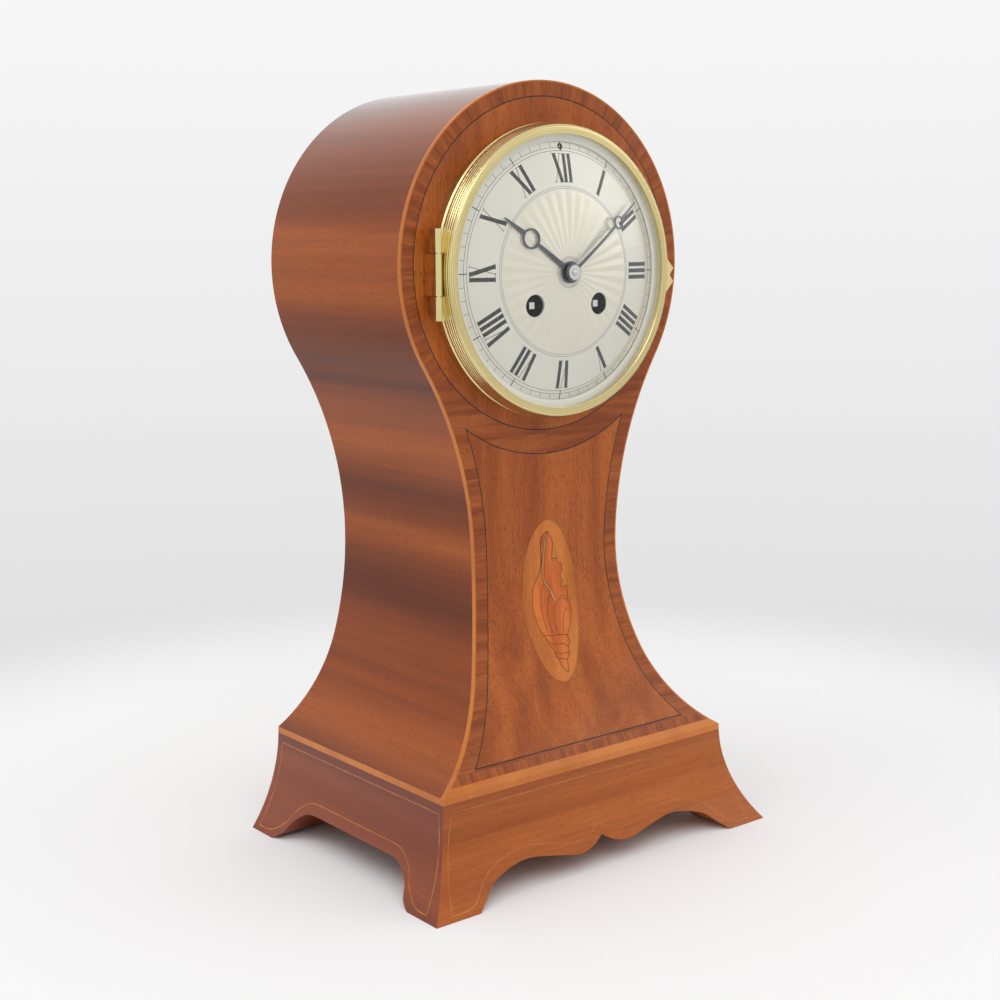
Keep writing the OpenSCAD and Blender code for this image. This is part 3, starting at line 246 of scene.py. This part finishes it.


# heights in metres between which the coat grows for a painted sheen on top, and how strong it is
topSheenSet = {"From Min": 0.31, "From Max": 0.352, "To Min": 0.3, "To Max": 1.0}


def sheenOnTop(s):
    # painted sheen: the coat is strongest on top of the drum, so the top shines brighter
    z = s.add("ShaderNodeSeparateXYZ", {0: s.place}).outputs[2]
    return s.add("ShaderNodeMapRange", {"Value": z, **topSheenSet}).outputs[0]


# metres: the drum's middle and radius, where it starts, and the top of the lowest band
bandSet = {"drumMid": 0.2775, "drumRadius": 0.083, "drumFrom": 0.226, "lowTo": 0.0555}


def bandPlace(s):
    # along the edge of the case first, across it second
    x, _, z = s.add("ShaderNodeSeparateXYZ", {0: s.place}).outputs
    up = s.maths("SUBTRACT", z, bandSet["drumMid"])
    arc = s.maths("MULTIPLY", s.maths("ARCTAN2", x, up), bandSet["drumRadius"])
    ring = s.maths("SQRT", s.maths("ADD", s.maths("MULTIPLY", x, x), s.maths("MULTIPLY", up, up)))
    high = s.maths("GREATER_THAN", z, bandSet["drumFrom"])
    low = s.maths("LESS_THAN", z, bandSet["lowTo"])

    def choose(flag, a, b):
        return s.add("ShaderNodeMix", {0: flag, 2: b, 3: a}, data_type="FLOAT").outputs[0]
    first = choose(low, x, choose(high, arc, z))
    second = choose(low, z, choose(high, ring, s.maths("ABSOLUTE", x)))
    return s.add("ShaderNodeCombineXYZ", {0: first, 1: second, 2: s.maths("SIGN", x)}).outputs[0]


def metal(name, colour, dull, rough=(0.1, 0.2), grit=1.2, depth=0.004, metallic=1.0):
    # slow clouds of tarnish under a fine grit
    s = Shade(name)
    run = s.inMillimetres()
    cloud = s.noise(run, 0.06, 3.0)
    fine = s.noise(run, grit, 3.0)
    tone = s.mix(s.grey(cloud, 0.0, 1.0), dull, colour)
    s.bump(fine, depth)
    return s.finish(Base_Color=tone, Metallic=metallic,
                    Roughness=s.grey(s.maths("MULTIPLY", cloud, fine), *rough))


# clear face on, with a sheen that grows towards the edge
glassSet = {"colour": (0.95, 0.97, 0.96, 1), "rise": 4.0, "edge": 0.4, "face": 0.02, "rough": (0.03, 0.06)}


def clearGlass(n):
    s = Shade("glassLook")
    wave = s.noise(s.inMillimetres(), 0.03, 1.0)
    s.bump(wave, 0.02)
    slant = s.add("ShaderNodeLayerWeight", {"Blend": 0.5}).outputs["Facing"]
    shine = s.maths("MULTIPLY_ADD", s.maths("POWER", slant, n["rise"]), n["edge"], n["face"])
    return s.finish(Base_Color=n["colour"], Metallic=1.0, Roughness=s.grey(wave, *n["rough"]), Alpha=shine)


def worn(name, scale, stops, relief=0.0, **values):
    # a dull mark whose tone wanders between two stops
    s = Shade(name)
    cloud = s.noise(s.inMillimetres(), scale, 3.0)
    if relief:
        s.bump(cloud, relief)
    if "rough" in values:
        values["Roughness"] = s.grey(cloud, *values.pop("rough"))
    return s.finish(Base_Color=s.ramp(cloud, stops), **values)


# tones are dark, middle and light; grain is the axis that it runs along
looks = {
    "side_veneer": wood("sideMahogany", ((0.15, 0.027, 0.004), (0.29, 0.058, 0.007), (0.43, 0.098, 0.012)),
                        grain=1, figure=44, streak=3.0, stretch=34, pores=0.3, fleck=0.2, coat=sheenOnTop),
    "field_veneer": wood("fieldMahogany", ((0.36, 0.079, 0.011), (0.45, 0.104, 0.016), (0.53, 0.133, 0.022)),
                         grain=2, figure=16, streak=1.2, stretch=24, pores=0.6, fleck=0.25, coat=0.35,
                         poreCut=0.61),
    "crossbanding": wood("crossMahogany", ((0.29, 0.060, 0.009), (0.37, 0.084, 0.013), (0.44, 0.110, 0.019)),
                         grain=1, source=bandPlace, figure=4, streak=0.9, stretch=18, pores=0.4, coat=0.35),
    "front_apron": wood("apronAcross", ((0.34, 0.076, 0.011), (0.43, 0.104, 0.016), (0.50, 0.132, 0.023)),
                        grain=0, figure=26, streak=1.4, stretch=22, pores=0.3, fleck=0.2, coat=0.35),
    "left_apron": wood("apronAlong", ((0.17, 0.028, 0.005), (0.23, 0.041, 0.008), (0.29, 0.057, 0.011)),
                       grain=1, figure=26, streak=1.4, stretch=22, pores=0.2, fleck=0.15, coat=0.6),
    "carcass_wall": wood("deal", ((0.40, 0.24, 0.11), (0.52, 0.34, 0.17), (0.62, 0.44, 0.25)),
                         grain=2, figure=14, streak=1.5, stretch=20, rough=(0.55, 0.75), coat=0.0),
    "box_edging": wood("boxwood", ((0.56, 0.160, 0.022), (0.61, 0.182, 0.027), (0.66, 0.208, 0.034)),
                       grain=2, figure=30, streak=1.5, stretch=3, pores=0.0, fleck=0.08),
    "apron_stringing": wood("stringing", ((0.44, 0.130, 0.022), (0.52, 0.165, 0.030), (0.60, 0.205, 0.042)),
                            grain=0, figure=8, streak=0.7, stretch=14, pores=0.15),
    "ebony_lines": wood("ebonyWood", ((0.012, 0.006, 0.004), (0.022, 0.012, 0.007), (0.045, 0.024, 0.013)),
                        grain=2, figure=6, streak=0.5, stretch=14, pores=0.2),
    "shell_ground": wood("shadedGround", ((0.52, 0.135, 0.018), (0.61, 0.170, 0.025), (0.69, 0.210, 0.035)),
                         grain=2, figure=12, streak=0.7, stretch=14, pores=0.25, fleck=0.2),
    "shell_inlay": wood("shellWood", ((0.56, 0.110, 0.014), (0.67, 0.150, 0.021), (0.77, 0.200, 0.034)),
                        grain=2, figure=7, streak=0.6, stretch=14, pores=0.1, fleck=0.2),
    "bezel_ring": metal("brassLook", (0.82, 0.71, 0.37), (0.75, 0.62, 0.29), (0.17, 0.25)),
    "dial": metal("silverLook", (0.80, 0.78, 0.69), (0.765, 0.745, 0.655), (0.32, 0.4), 2.2, 0.002, 0.4),
    "hour_hand": metal("bluedSteel", (0.15, 0.155, 0.17), (0.08, 0.085, 0.10), (0.22, 0.34)),
    "going_arbor": metal("steelLook", (0.72, 0.72, 0.71), (0.6, 0.6, 0.59), (0.16, 0.28)),
    "front_plate": metal("movementBrass", (0.78, 0.60, 0.28), (0.66, 0.49, 0.21), (0.2, 0.32)),
    "strap_screws": metal("ironLook", (0.22, 0.21, 0.2), (0.13, 0.125, 0.12), (0.3, 0.45)),
    "bezel_glass": clearGlass(glassSet),
}
# the node whose look each of the record's slots takes
slotLooks = {"mahogany": "side_veneer", "field_mahogany": "field_veneer",
             "crossband_mahogany": "crossbanding", "plinth_mahogany": "front_apron",
             "carcass_wood": "carcass_wall", "boxwood": "box_edging", "ebony": "ebony_lines",
             "shaded_ground": "shell_ground", "shell_wood": "shell_inlay", "brass": "bezel_ring",
             "silvered": "dial", "glass": "bezel_glass", "blued_steel": "hour_hand", "steel": "going_arbor",
             "movement_brass": "front_plate", "iron": "strap_screws"}
# nodes that look like another node, whatever their slot
twinLooks = {"right_apron": "left_apron", "hand_nut": "going_arbor"}
for part in frame["record"]["subparts"]:
    name = part["node"]
    like = twinLooks.get(name, name if name in looks else slotLooks[part["material_slot"]])
    mesh = nodes[name].data
    mesh.materials.clear()
    mesh.materials.append(looks[like])
print("materials made", len(looks))

# a pale sheet that fades into the background away from the object, in metres
floorSet = {"half": 0.6, "fade": (0.3, 0.54), "dark": (0.89, 0.89, 0.895), "light": (0.91, 0.91, 0.915)}


def paperLook(n):
    s = Shade("paper")
    grain = s.noise(s.inMillimetres(), 0.4, 2.0)
    away = s.add("ShaderNodeVectorMath", {0: s.place}, operation="LENGTH").outputs["Value"]
    near, far = n["fade"]
    fade = s.add("ShaderNodeMapRange", {"Value": away, "From Min": near, "From Max": far, "To Min": 1.0,
                                        "To Max": 0.0}, interpolation_type="SMOOTHSTEP")
    return s.finish(Base_Color=s.mix(s.grey(grain, 0.0, 1.0), n["dark"], n["light"]), Roughness=0.9,
                    Specular_IOR_Level=0.1, Alpha=fade.outputs[0])


def makeFloor(n):
    mesh = bpy.data.meshes.new("floor")
    shape = bmesh.new()
    bmesh.ops.create_grid(shape, x_segments=1, y_segments=1, size=n["half"])
    shape.to_mesh(mesh)
    shape.free()
    mesh.materials.append(paperLook(n))
    floor = bpy.data.objects.new("floor", mesh)
    bpy.context.scene.collection.objects.link(floor)
    return floor


floor = makeFloor(floorSet)


def shapeToPiece(shape, name, look, body):
    bmesh.ops.recalc_face_normals(shape, faces=shape.faces)
    mesh = bpy.data.meshes.new(name)
    shape.to_mesh(mesh)
    shape.free()
    mesh.materials.append(look)
    piece = bpy.data.objects.new(name, mesh)
    bpy.context.scene.collection.objects.link(piece)
    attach(piece, body)


# dial markings lie on its dome: drawn flat in millimetres, then laid on
dialLow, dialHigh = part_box("dial")
dialZ = (dialLow.z + dialHigh.z) / 2 / mm
dialSet = {"apex": dialLow.y / mm, "dome": 245.0, "lift": 0.05, "thick": 0.04}
windingHoles = ((-19.2, -14.6), (19.2, -14.6))


def dialSag(ring):
    # how far the dome falls back where the squared radius is ring
    return dialSet["dome"] - math.sqrt(dialSet["dome"] ** 2 - ring)


def layOnDial(shape, lift=dialSet["lift"], thick=dialSet["thick"]):
    for vert in shape.verts:
        sag = dialSag(vert.co.x ** 2 + vert.co.z ** 2)
        vert.co = Vector((vert.co.x, dialSet["apex"] + sag - lift + vert.co.y, vert.co.z + dialZ)) * mm
    if thick:
        bmesh.ops.recalc_face_normals(shape, faces=shape.faces)
        bmesh.ops.solidify(shape, geom=shape.faces[:], thickness=thick * mm)


def quad(shape, corners, cuts=0):
    verts = [shape.verts.new((x, 0, z)) for x, z in corners]
    face = shape.faces.new(verts)
    if cuts:
        sides = [face.edges[0], face.edges[2]]
        bmesh.ops.subdivide_edges(shape, edges=sides, cuts=cuts, use_grid_fill=True)


def stroke(shape, start, end, width, cuts=3):
    a, b = Vector(start), Vector(end)
    side = Vector((b.y - a.y, a.x - b.x)).normalized() / 2 * width
    quad(shape, [tuple(c) for c in (a - side, b - side, b + side, a + side)], cuts)


def spinRound(shape, verts, centre, steps):
    # joins the points with edges and turns them round the dial's own direction
    edges = [shape.edges.new(pair) for pair in zip(verts, verts[1:])]
    bmesh.ops.spin(shape, geom=verts + edges, axis=(0, 1, 0), cent=centre, steps=steps, angle=math.tau,
                   use_merge=True)


def circle(shape, radius, width, steps=180):
    ends = [shape.verts.new((radius + k * width / 2, 0, 0)) for k in (-1, 1)]
    spinRound(shape, ends, (0, 0, 0), steps)


# Roman numerals with thick and hair strokes, feet to the centre
numeralSet = {"foot": 40.2, "head": 52.9, "thick": 1.85, "hair": 0.26, "serif": 0.2, "step": 2.95,
              "x half": 1.75, "v half": 1.55, "x gap": 1.6, "v gap": 1.3, "foot serif": 1.35,
              "wide serif": 1.4, "hair serif": 0.8}


def glyph(letter, n):
    high = n["head"] - n["foot"]
    half = n["v half" if letter == "V" else "x half"]
    bar, wide, thin = n["thick"], n["wide serif"], n["hair serif"]
    if letter == "I":
        return n["step"], [((0, 0), (0, high), bar)], [(0, 0, n["foot serif"]), (0, high, n["foot serif"])]
    tops = [(-half, high, wide), (half, high, thin)]
    if letter == "V":
        lines = [((-half, high), (0, 0), bar), ((half, high), (0, 0), n["hair"])]
        return 2 * half + n["v gap"], lines, tops
    lines = [((-half, high), (half, 0), bar), ((half, high), (-half, 0), n["hair"])]
    return 2 * half + n["x gap"], lines, tops + [(-half, 0, thin), (half, 0, wide)]


def makeNumerals(n):
    shape = bmesh.new()
    for hour, word in enumerate("I II III IIII V VI VII VIII IX X XI XII".split(), 1):
        turnBy = hour * math.tau / 12
        out = Vector((math.sin(turnBy), math.cos(turnBy)))
        along = Vector((math.cos(turnBy), -math.sin(turnBy)))
        parts = [glyph(letter, n) for letter in word]
        at = -sum(part[0] for part in parts) / 2

        def spot(x, up):
            return out * (n["foot"] + up) + along * x
        for wide, lines, serifs in parts:
            mid = at + wide / 2
            for start, end, width in lines:
                stroke(shape, spot(mid + start[0], start[1]), spot(mid + end[0], end[1]), width)
            for x, up, reach in serifs:
                stroke(shape, spot(mid + x - reach, up), spot(mid + x + reach, up), n["serif"], 1)
            at += wide
    layOnDial(shape)
    return shape


# minute track: two hair circles, a tick for each minute and a stout one for each five
trackSet = {"inner": 54.2, "outer": 55.6, "tick": 57.9, "five": 58.2, "hair": 0.17, "stout": 0.45}


def makeTrack(n):
    shape = bmesh.new()
    circle(shape, n["inner"], n["hair"])
    circle(shape, n["outer"], n["hair"])
    for minute in range(60):
        turnBy = minute * math.tau / 60
        out = Vector((math.sin(turnBy), math.cos(turnBy)))
        five = minute % 5 == 0
        width = n["stout" if five else "hair"]
        stroke(shape, out * n["outer"], out * n["five" if five else "tick"], width, 1)
        if five:
            stroke(shape, out * n["inner"], out * n["outer"], width, 1)
    layOnDial(shape)
    return shape


# engine-turned centre: shallow flutes that fan out from a plain boss to a scalloped edge
raySet = {"rays": 36, "inner": 7.4, "outer": 36.4, "scallop": 0.7, "depth": 0.24, "rows": 26, "lift": 0.03,
          "hole": 5.2, "reach": 1.6, "edgeDepth": 0.2, "border": (37.4, 38.3), "boss": (6.3, 7.0),
          "line": 0.2}


def makeRays(n):
    shape = bmesh.new()
    long = n["outer"] - n["inner"]
    spoke = [shape.verts.new((n["inner"] + long * k / n["rows"], 0, 0)) for k in range(n["rows"] + 1)]
    spinRound(shape, spoke, (0, 0, 0), n["rays"] * 4)
    holes = [Vector(h) for h in windingHoles]
    inHole = [f for f in shape.faces
              if any((f.calc_center_median().xz - h).length < n["hole"] for h in holes)]
    bmesh.ops.delete(shape, geom=inHole, context="FACES")
    for vert in shape.verts:
        flat = vert.co.xz
        near = [h for h in holes if (flat - h).length < n["hole"] + n["reach"]]
        ring = flat.length
        if near and vert.is_boundary:
            flat = near[0] + (flat - near[0]).normalized() * n["hole"]  # rounds the edge of the hole
        share = (math.atan2(flat.x, flat.y) / math.tau * n["rays"]) % 1.0
        ridge = 1 - abs(2 * share - 1)
        lift = n["depth"] * ridge * ring / n["outer"]
        if ring > n["outer"] - 0.01:
            flat = flat * (1 + n["scallop"] * math.sqrt(max(ridge, 0.0)) / n["outer"])
            lift *= n["edgeDepth"]
        vert.co = Vector((flat.x, -lift, flat.y))
    layOnDial(shape, n["lift"], 0)
    return shape


def makeDialLines(n):
    shape = bmesh.new()
    for radius in n["border"] + n["boss"]:
        circle(shape, radius, n["line"])
    layOnDial(shape)
    return shape


wax = worn("wax", 0.9, [(0.35, (0.020, 0.021, 0.022)), (0.72, (0.075, 0.076, 0.077))], 0.01,
           rough=(0.35, 0.6))
softLine = worn("engravedLine", 0.5, [(0.3, (0.22, 0.21, 0.19)), (0.7, (0.4, 0.38, 0.34))],
                Metallic=0.3, Roughness=0.5)
engineTurning = metal("engineTurning", (0.815, 0.785, 0.665), (0.775, 0.74, 0.61), (0.28, 0.38),
                      grit=1.5, depth=0.003, metallic=0.5)
shapeToPiece(makeNumerals(numeralSet), "numerals", wax, "case")
shapeToPiece(makeTrack(trackSet), "minuteTrack", wax, "case")
shapeToPiece(makeDialLines(raySet), "dialLines", softLine, "case")
shapeToPiece(makeRays(raySet), "dialRays", engineTurning, "case")
print("dial drawn")

# black sleeves in the holes of the dial, near black as painted shade inside the holes: outer and inner
# radius
sleeveSet = {"winding": (4.95, 2.9), "regulator": (0, 56.2, 1.45, 1.0), "sunk": 0.5, "deep": 5.0,
             "steps": 48}


def makeSleeves(n):
    shape = bmesh.new()
    for x, z, radius, inner in [(*hole, *n["winding"]) for hole in windingHoles] + [n["regulator"]]:
        front = dialSet["apex"] + dialSag(x * x + z * z) + n["sunk"]
        deep = front + n["deep"]
        profile = [(x + radius, front), (x + radius, deep), (x + inner, deep)]
        verts = [shape.verts.new(Vector((across, y, z + dialZ)) * mm) for across, y in profile]
        spinRound(shape, verts, Vector((x, 0, z + dialZ)) * mm, n["steps"])
    return shape


# painted shade: the sleeves are near black to stand for the shade deep in the holes
holeShade = worn("holeShade", 0.8, [(0.3, (0.004, 0.004, 0.004)), (0.7, (0.012, 0.011, 0.01))], rough=(0.6, 0.8),
            Specular_IOR_Level=0.1)
shapeToPiece(makeSleeves(sleeveSet), "windingSleeves", holeShade, "case")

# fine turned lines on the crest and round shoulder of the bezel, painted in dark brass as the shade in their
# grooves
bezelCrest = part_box("bezel_ring")[0].y / mm
lineSet = {"crest": (62.15, 62.75, 63.35), "shoulder": 64.0, "round": 2.0, "angles": (8, 34, 60, 86),
           "width": 0.16, "lift": 0.02, "steps": 180}


def makeBezelLines(n):
    shape = bmesh.new()
    lines = [(r, bezelCrest - n["lift"], 0.0) for r in n["crest"]]
    out = n["round"] + n["lift"]
    for angle in map(math.radians, n["angles"]):
        y = bezelCrest + n["round"] - out * math.cos(angle)
        lines.append((n["shoulder"] + out * math.sin(angle), y, angle))
    half = n["width"] / 2
    for r, y, angle in lines:
        ends = [shape.verts.new(Vector((r + k * math.cos(angle), y + k * math.sin(angle), dialZ)) * mm)
                for k in (-half, half)]
        spinRound(shape, ends, Vector((0, 0, dialZ)) * mm, n["steps"])
    return shape


# painted shade: darker brass for the shadow in the turned grooves
grooveShade = metal("grooveShade", (0.46, 0.36, 0.14), (0.36, 0.27, 0.09), (0.3, 0.4))
shapeToPiece(makeBezelLines(lineSet), "bezelLines", grooveShade, "bezel")
print("sleeves and bezel lines made")

# shell marquetry: seams and growth lines on the swept front, in shares of half its oval
frontSet = {"face": -33.5, "sweepFrom": 150.0, "sweepRadius": 177.67}
ovalLow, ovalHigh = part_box("shell_ground")
ovalMid = (ovalLow + ovalHigh) / 2 / mm
ovalHalf = (ovalHigh - ovalLow) / 2 / mm
mouthLeft = ((0.02, 0.86), (-0.10, 0.76), (-0.16, 0.62), (-0.22, 0.45), (-0.20, 0.23), (-0.04, 0.13),
             (0.07, 0.03), (0.18, -0.03))
mouthRight = ((0.04, 0.86), (-0.04, 0.71), (-0.10, 0.56), (-0.14, 0.39), (-0.13, 0.26), (0.04, 0.14),
              (0.17, 0.03), (0.26, -0.03))
shellSeams = {
    "mouth left": mouthLeft,
    "mouth right": mouthRight,
    "outer seam": ((-0.17, 0.81), (-0.24, 0.67), (-0.23, 0.51), (-0.23, 0.44)),
    "first growth": ((-0.20, 0.20), (-0.31, 0.10), (-0.37, -0.04), (-0.36, -0.19), (-0.30, -0.32),
                     (-0.24, -0.41)),
    "second growth": ((0.0, 0.06), (-0.13, -0.06), (-0.17, -0.19), (-0.14, -0.31), (-0.06, -0.42)),
    "third growth": ((0.22, -0.04), (0.11, -0.13), (0.06, -0.26), (0.08, -0.37), (0.14, -0.44)),
    "fourth growth": ((0.58, -0.14), (0.44, -0.20), (0.35, -0.34), (0.29, -0.45)),
    "collar top": ((0.36, 0.02), (0.49, 0.02), (0.60, 0.0), (0.65, -0.04)),
    "collar foot": ((0.26, -0.03), (0.44, -0.01), (0.57, -0.03), (0.66, -0.07)),
    "first whorl": ((-0.40, -0.42), (-0.10, -0.44), (0.26, -0.45), (0.45, -0.47)),
    "second whorl": ((-0.26, -0.52), (-0.01, -0.55), (0.25, -0.56), (0.42, -0.61)),
    "third whorl": ((-0.13, -0.64), (0.09, -0.67), (0.29, -0.67), (0.39, -0.68)),
    "fourth whorl": ((-0.11, -0.70), (0.07, -0.73), (0.28, -0.75)),
}
# widths of the lines, and how far each layer stands proud and how thick it is
shellSet = {"seam": 0.26, "oval": 0.35, "seamLay": (0.04, 0.03), "mouthLay": (0.025, 0.02),
            "rimLay": (0.045, 0.03), "ahead": -0.6, "ovalShare": 0.95}


def frontY(z):
    drop = min(z - frontSet["sweepFrom"], 0.0)
    radius = frontSet["sweepRadius"]
    return frontSet["face"] - radius + math.sqrt(radius ** 2 - drop ** 2)


def layOnFront(shape, lift, thick):
    for vert in shape.verts:
        vert.co = Vector((vert.co.x, frontY(vert.co.z) - lift, vert.co.z)) * mm
    bmesh.ops.recalc_face_normals(shape, faces=shape.faces)
    bmesh.ops.solidify(shape, geom=shape.faces[:], thickness=thick * mm)


def smoothLine(shares, steps=6):
    # a smooth curve through every point
    row = [Vector((ovalMid.x + u * ovalHalf.x, ovalMid.z + v * ovalHalf.z)) for u, v in shares]
    line = []
    for i in range(len(row) - 1):
        a, b, c, d = row[max(i - 1, 0)], row[i], row[i + 1], row[min(i + 2, len(row) - 1)]
        for k in range(steps):
            t = k / steps
            bend = (2 * a - 5 * b + 4 * c - d) * t ** 2
            twist = (3 * b - a - 3 * c + d) * t ** 3
            line.append((2 * b + (c - a) * t + bend + twist) / 2)
    return line + [row[-1]]


def ribbon(shape, line, width):
    edge = None
    for i, spot in enumerate(line):
        run = line[min(i + 1, len(line) - 1)] - line[max(i - 1, 0)]
        side = Vector((run.y, -run.x)).normalized() * width / 2
        ends = [spot - side, spot + side]
        if edge is None:
            edge = shape.edges.new([shape.verts.new((e.x, 0, e.y)) for e in ends])
            continue
        grown = bmesh.ops.extrude_edge_only(shape, edges=[edge])["geom"]
        edge = [g for g in grown if isinstance(g, bmesh.types.BMEdge) and len(g.link_faces) == 1
                and g.verts[0] not in edge.verts and g.verts[1] not in edge.verts][0]
        for vert in edge.verts:
            first = min(ends, key=lambda e: (vert.co.xz - e).length)
            vert.co = (first.x, 0, first.y)


def makeSeams(seams, n):
    shape = bmesh.new()
    for shares in seams.values():
        ribbon(shape, smoothLine(shares), n["seam"])
    layOnFront(shape, *n["seamLay"])
    return shape


def makeMouth(left, right, n):
    shape = bmesh.new()
    sides = []
    for shares in (left, right):
        verts = [shape.verts.new((spot.x, 0, spot.y)) for spot in smoothLine(shares)]
        sides += [shape.edges.new(pair) for pair in zip(verts, verts[1:])]
    bmesh.ops.bridge_loops(shape, edges=sides)
    layOnFront(shape, *n["mouthLay"])
    return shape


def makeRimLine(nodeName, width, keep, n):
    # a thin line along the front edges of an inlaid node
    source = bmesh.new()
    source.from_mesh(nodes[nodeName].data)
    bmesh.ops.remove_doubles(source, verts=source.verts, dist=1e-6)
    shape = bmesh.new()
    for edge in source.edges:
        ahead = [f for f in edge.link_faces if f.normal.y < n["ahead"]]
        if len(ahead) != 1 or len(edge.link_faces) != 2 or not keep(edge):
            continue
        a, b = (v.co / mm for v in edge.verts)
        stroke(shape, (a.x, a.z), (b.x, b.z), width, 0)
    source.free()
    layOnFront(shape, *n["rimLay"])
    return shape


def onOval(edge):
    off = (edge.verts[0].co + edge.verts[1].co) / 2 / mm - ovalMid
    return (off.x / ovalHalf.x) ** 2 + (off.z / ovalHalf.z) ** 2 > shellSet["ovalShare"]


def anyEdge(edge):
    return True


burnt = wood("burntLine", ((0.10, 0.026, 0.007), (0.15, 0.042, 0.010), (0.21, 0.062, 0.016)), grain=2,
             figure=6, streak=0.5, stretch=10, pores=0.1)
paleShell = wood("paleShell", ((0.56, 0.22, 0.06), (0.66, 0.29, 0.09), (0.74, 0.37, 0.13)), grain=2,
                 figure=6, streak=0.6, stretch=12, pores=0.1)
outline = makeRimLine("shell_inlay", shellSet["seam"], anyEdge, shellSet)
ovalLine = makeRimLine("shell_ground", shellSet["oval"], onOval, shellSet)
shapeToPiece(makeSeams(shellSeams, shellSet), "shellSeams", burnt, "case")
shapeToPiece(outline, "shellOutline", burnt, "case")
shapeToPiece(makeMouth(mouthLeft, mouthRight, shellSet), "shellMouth", paleShell, "case")
shapeToPiece(ovalLine, "ovalLine", looks["apron_stringing"], "case")
print("shell drawn")
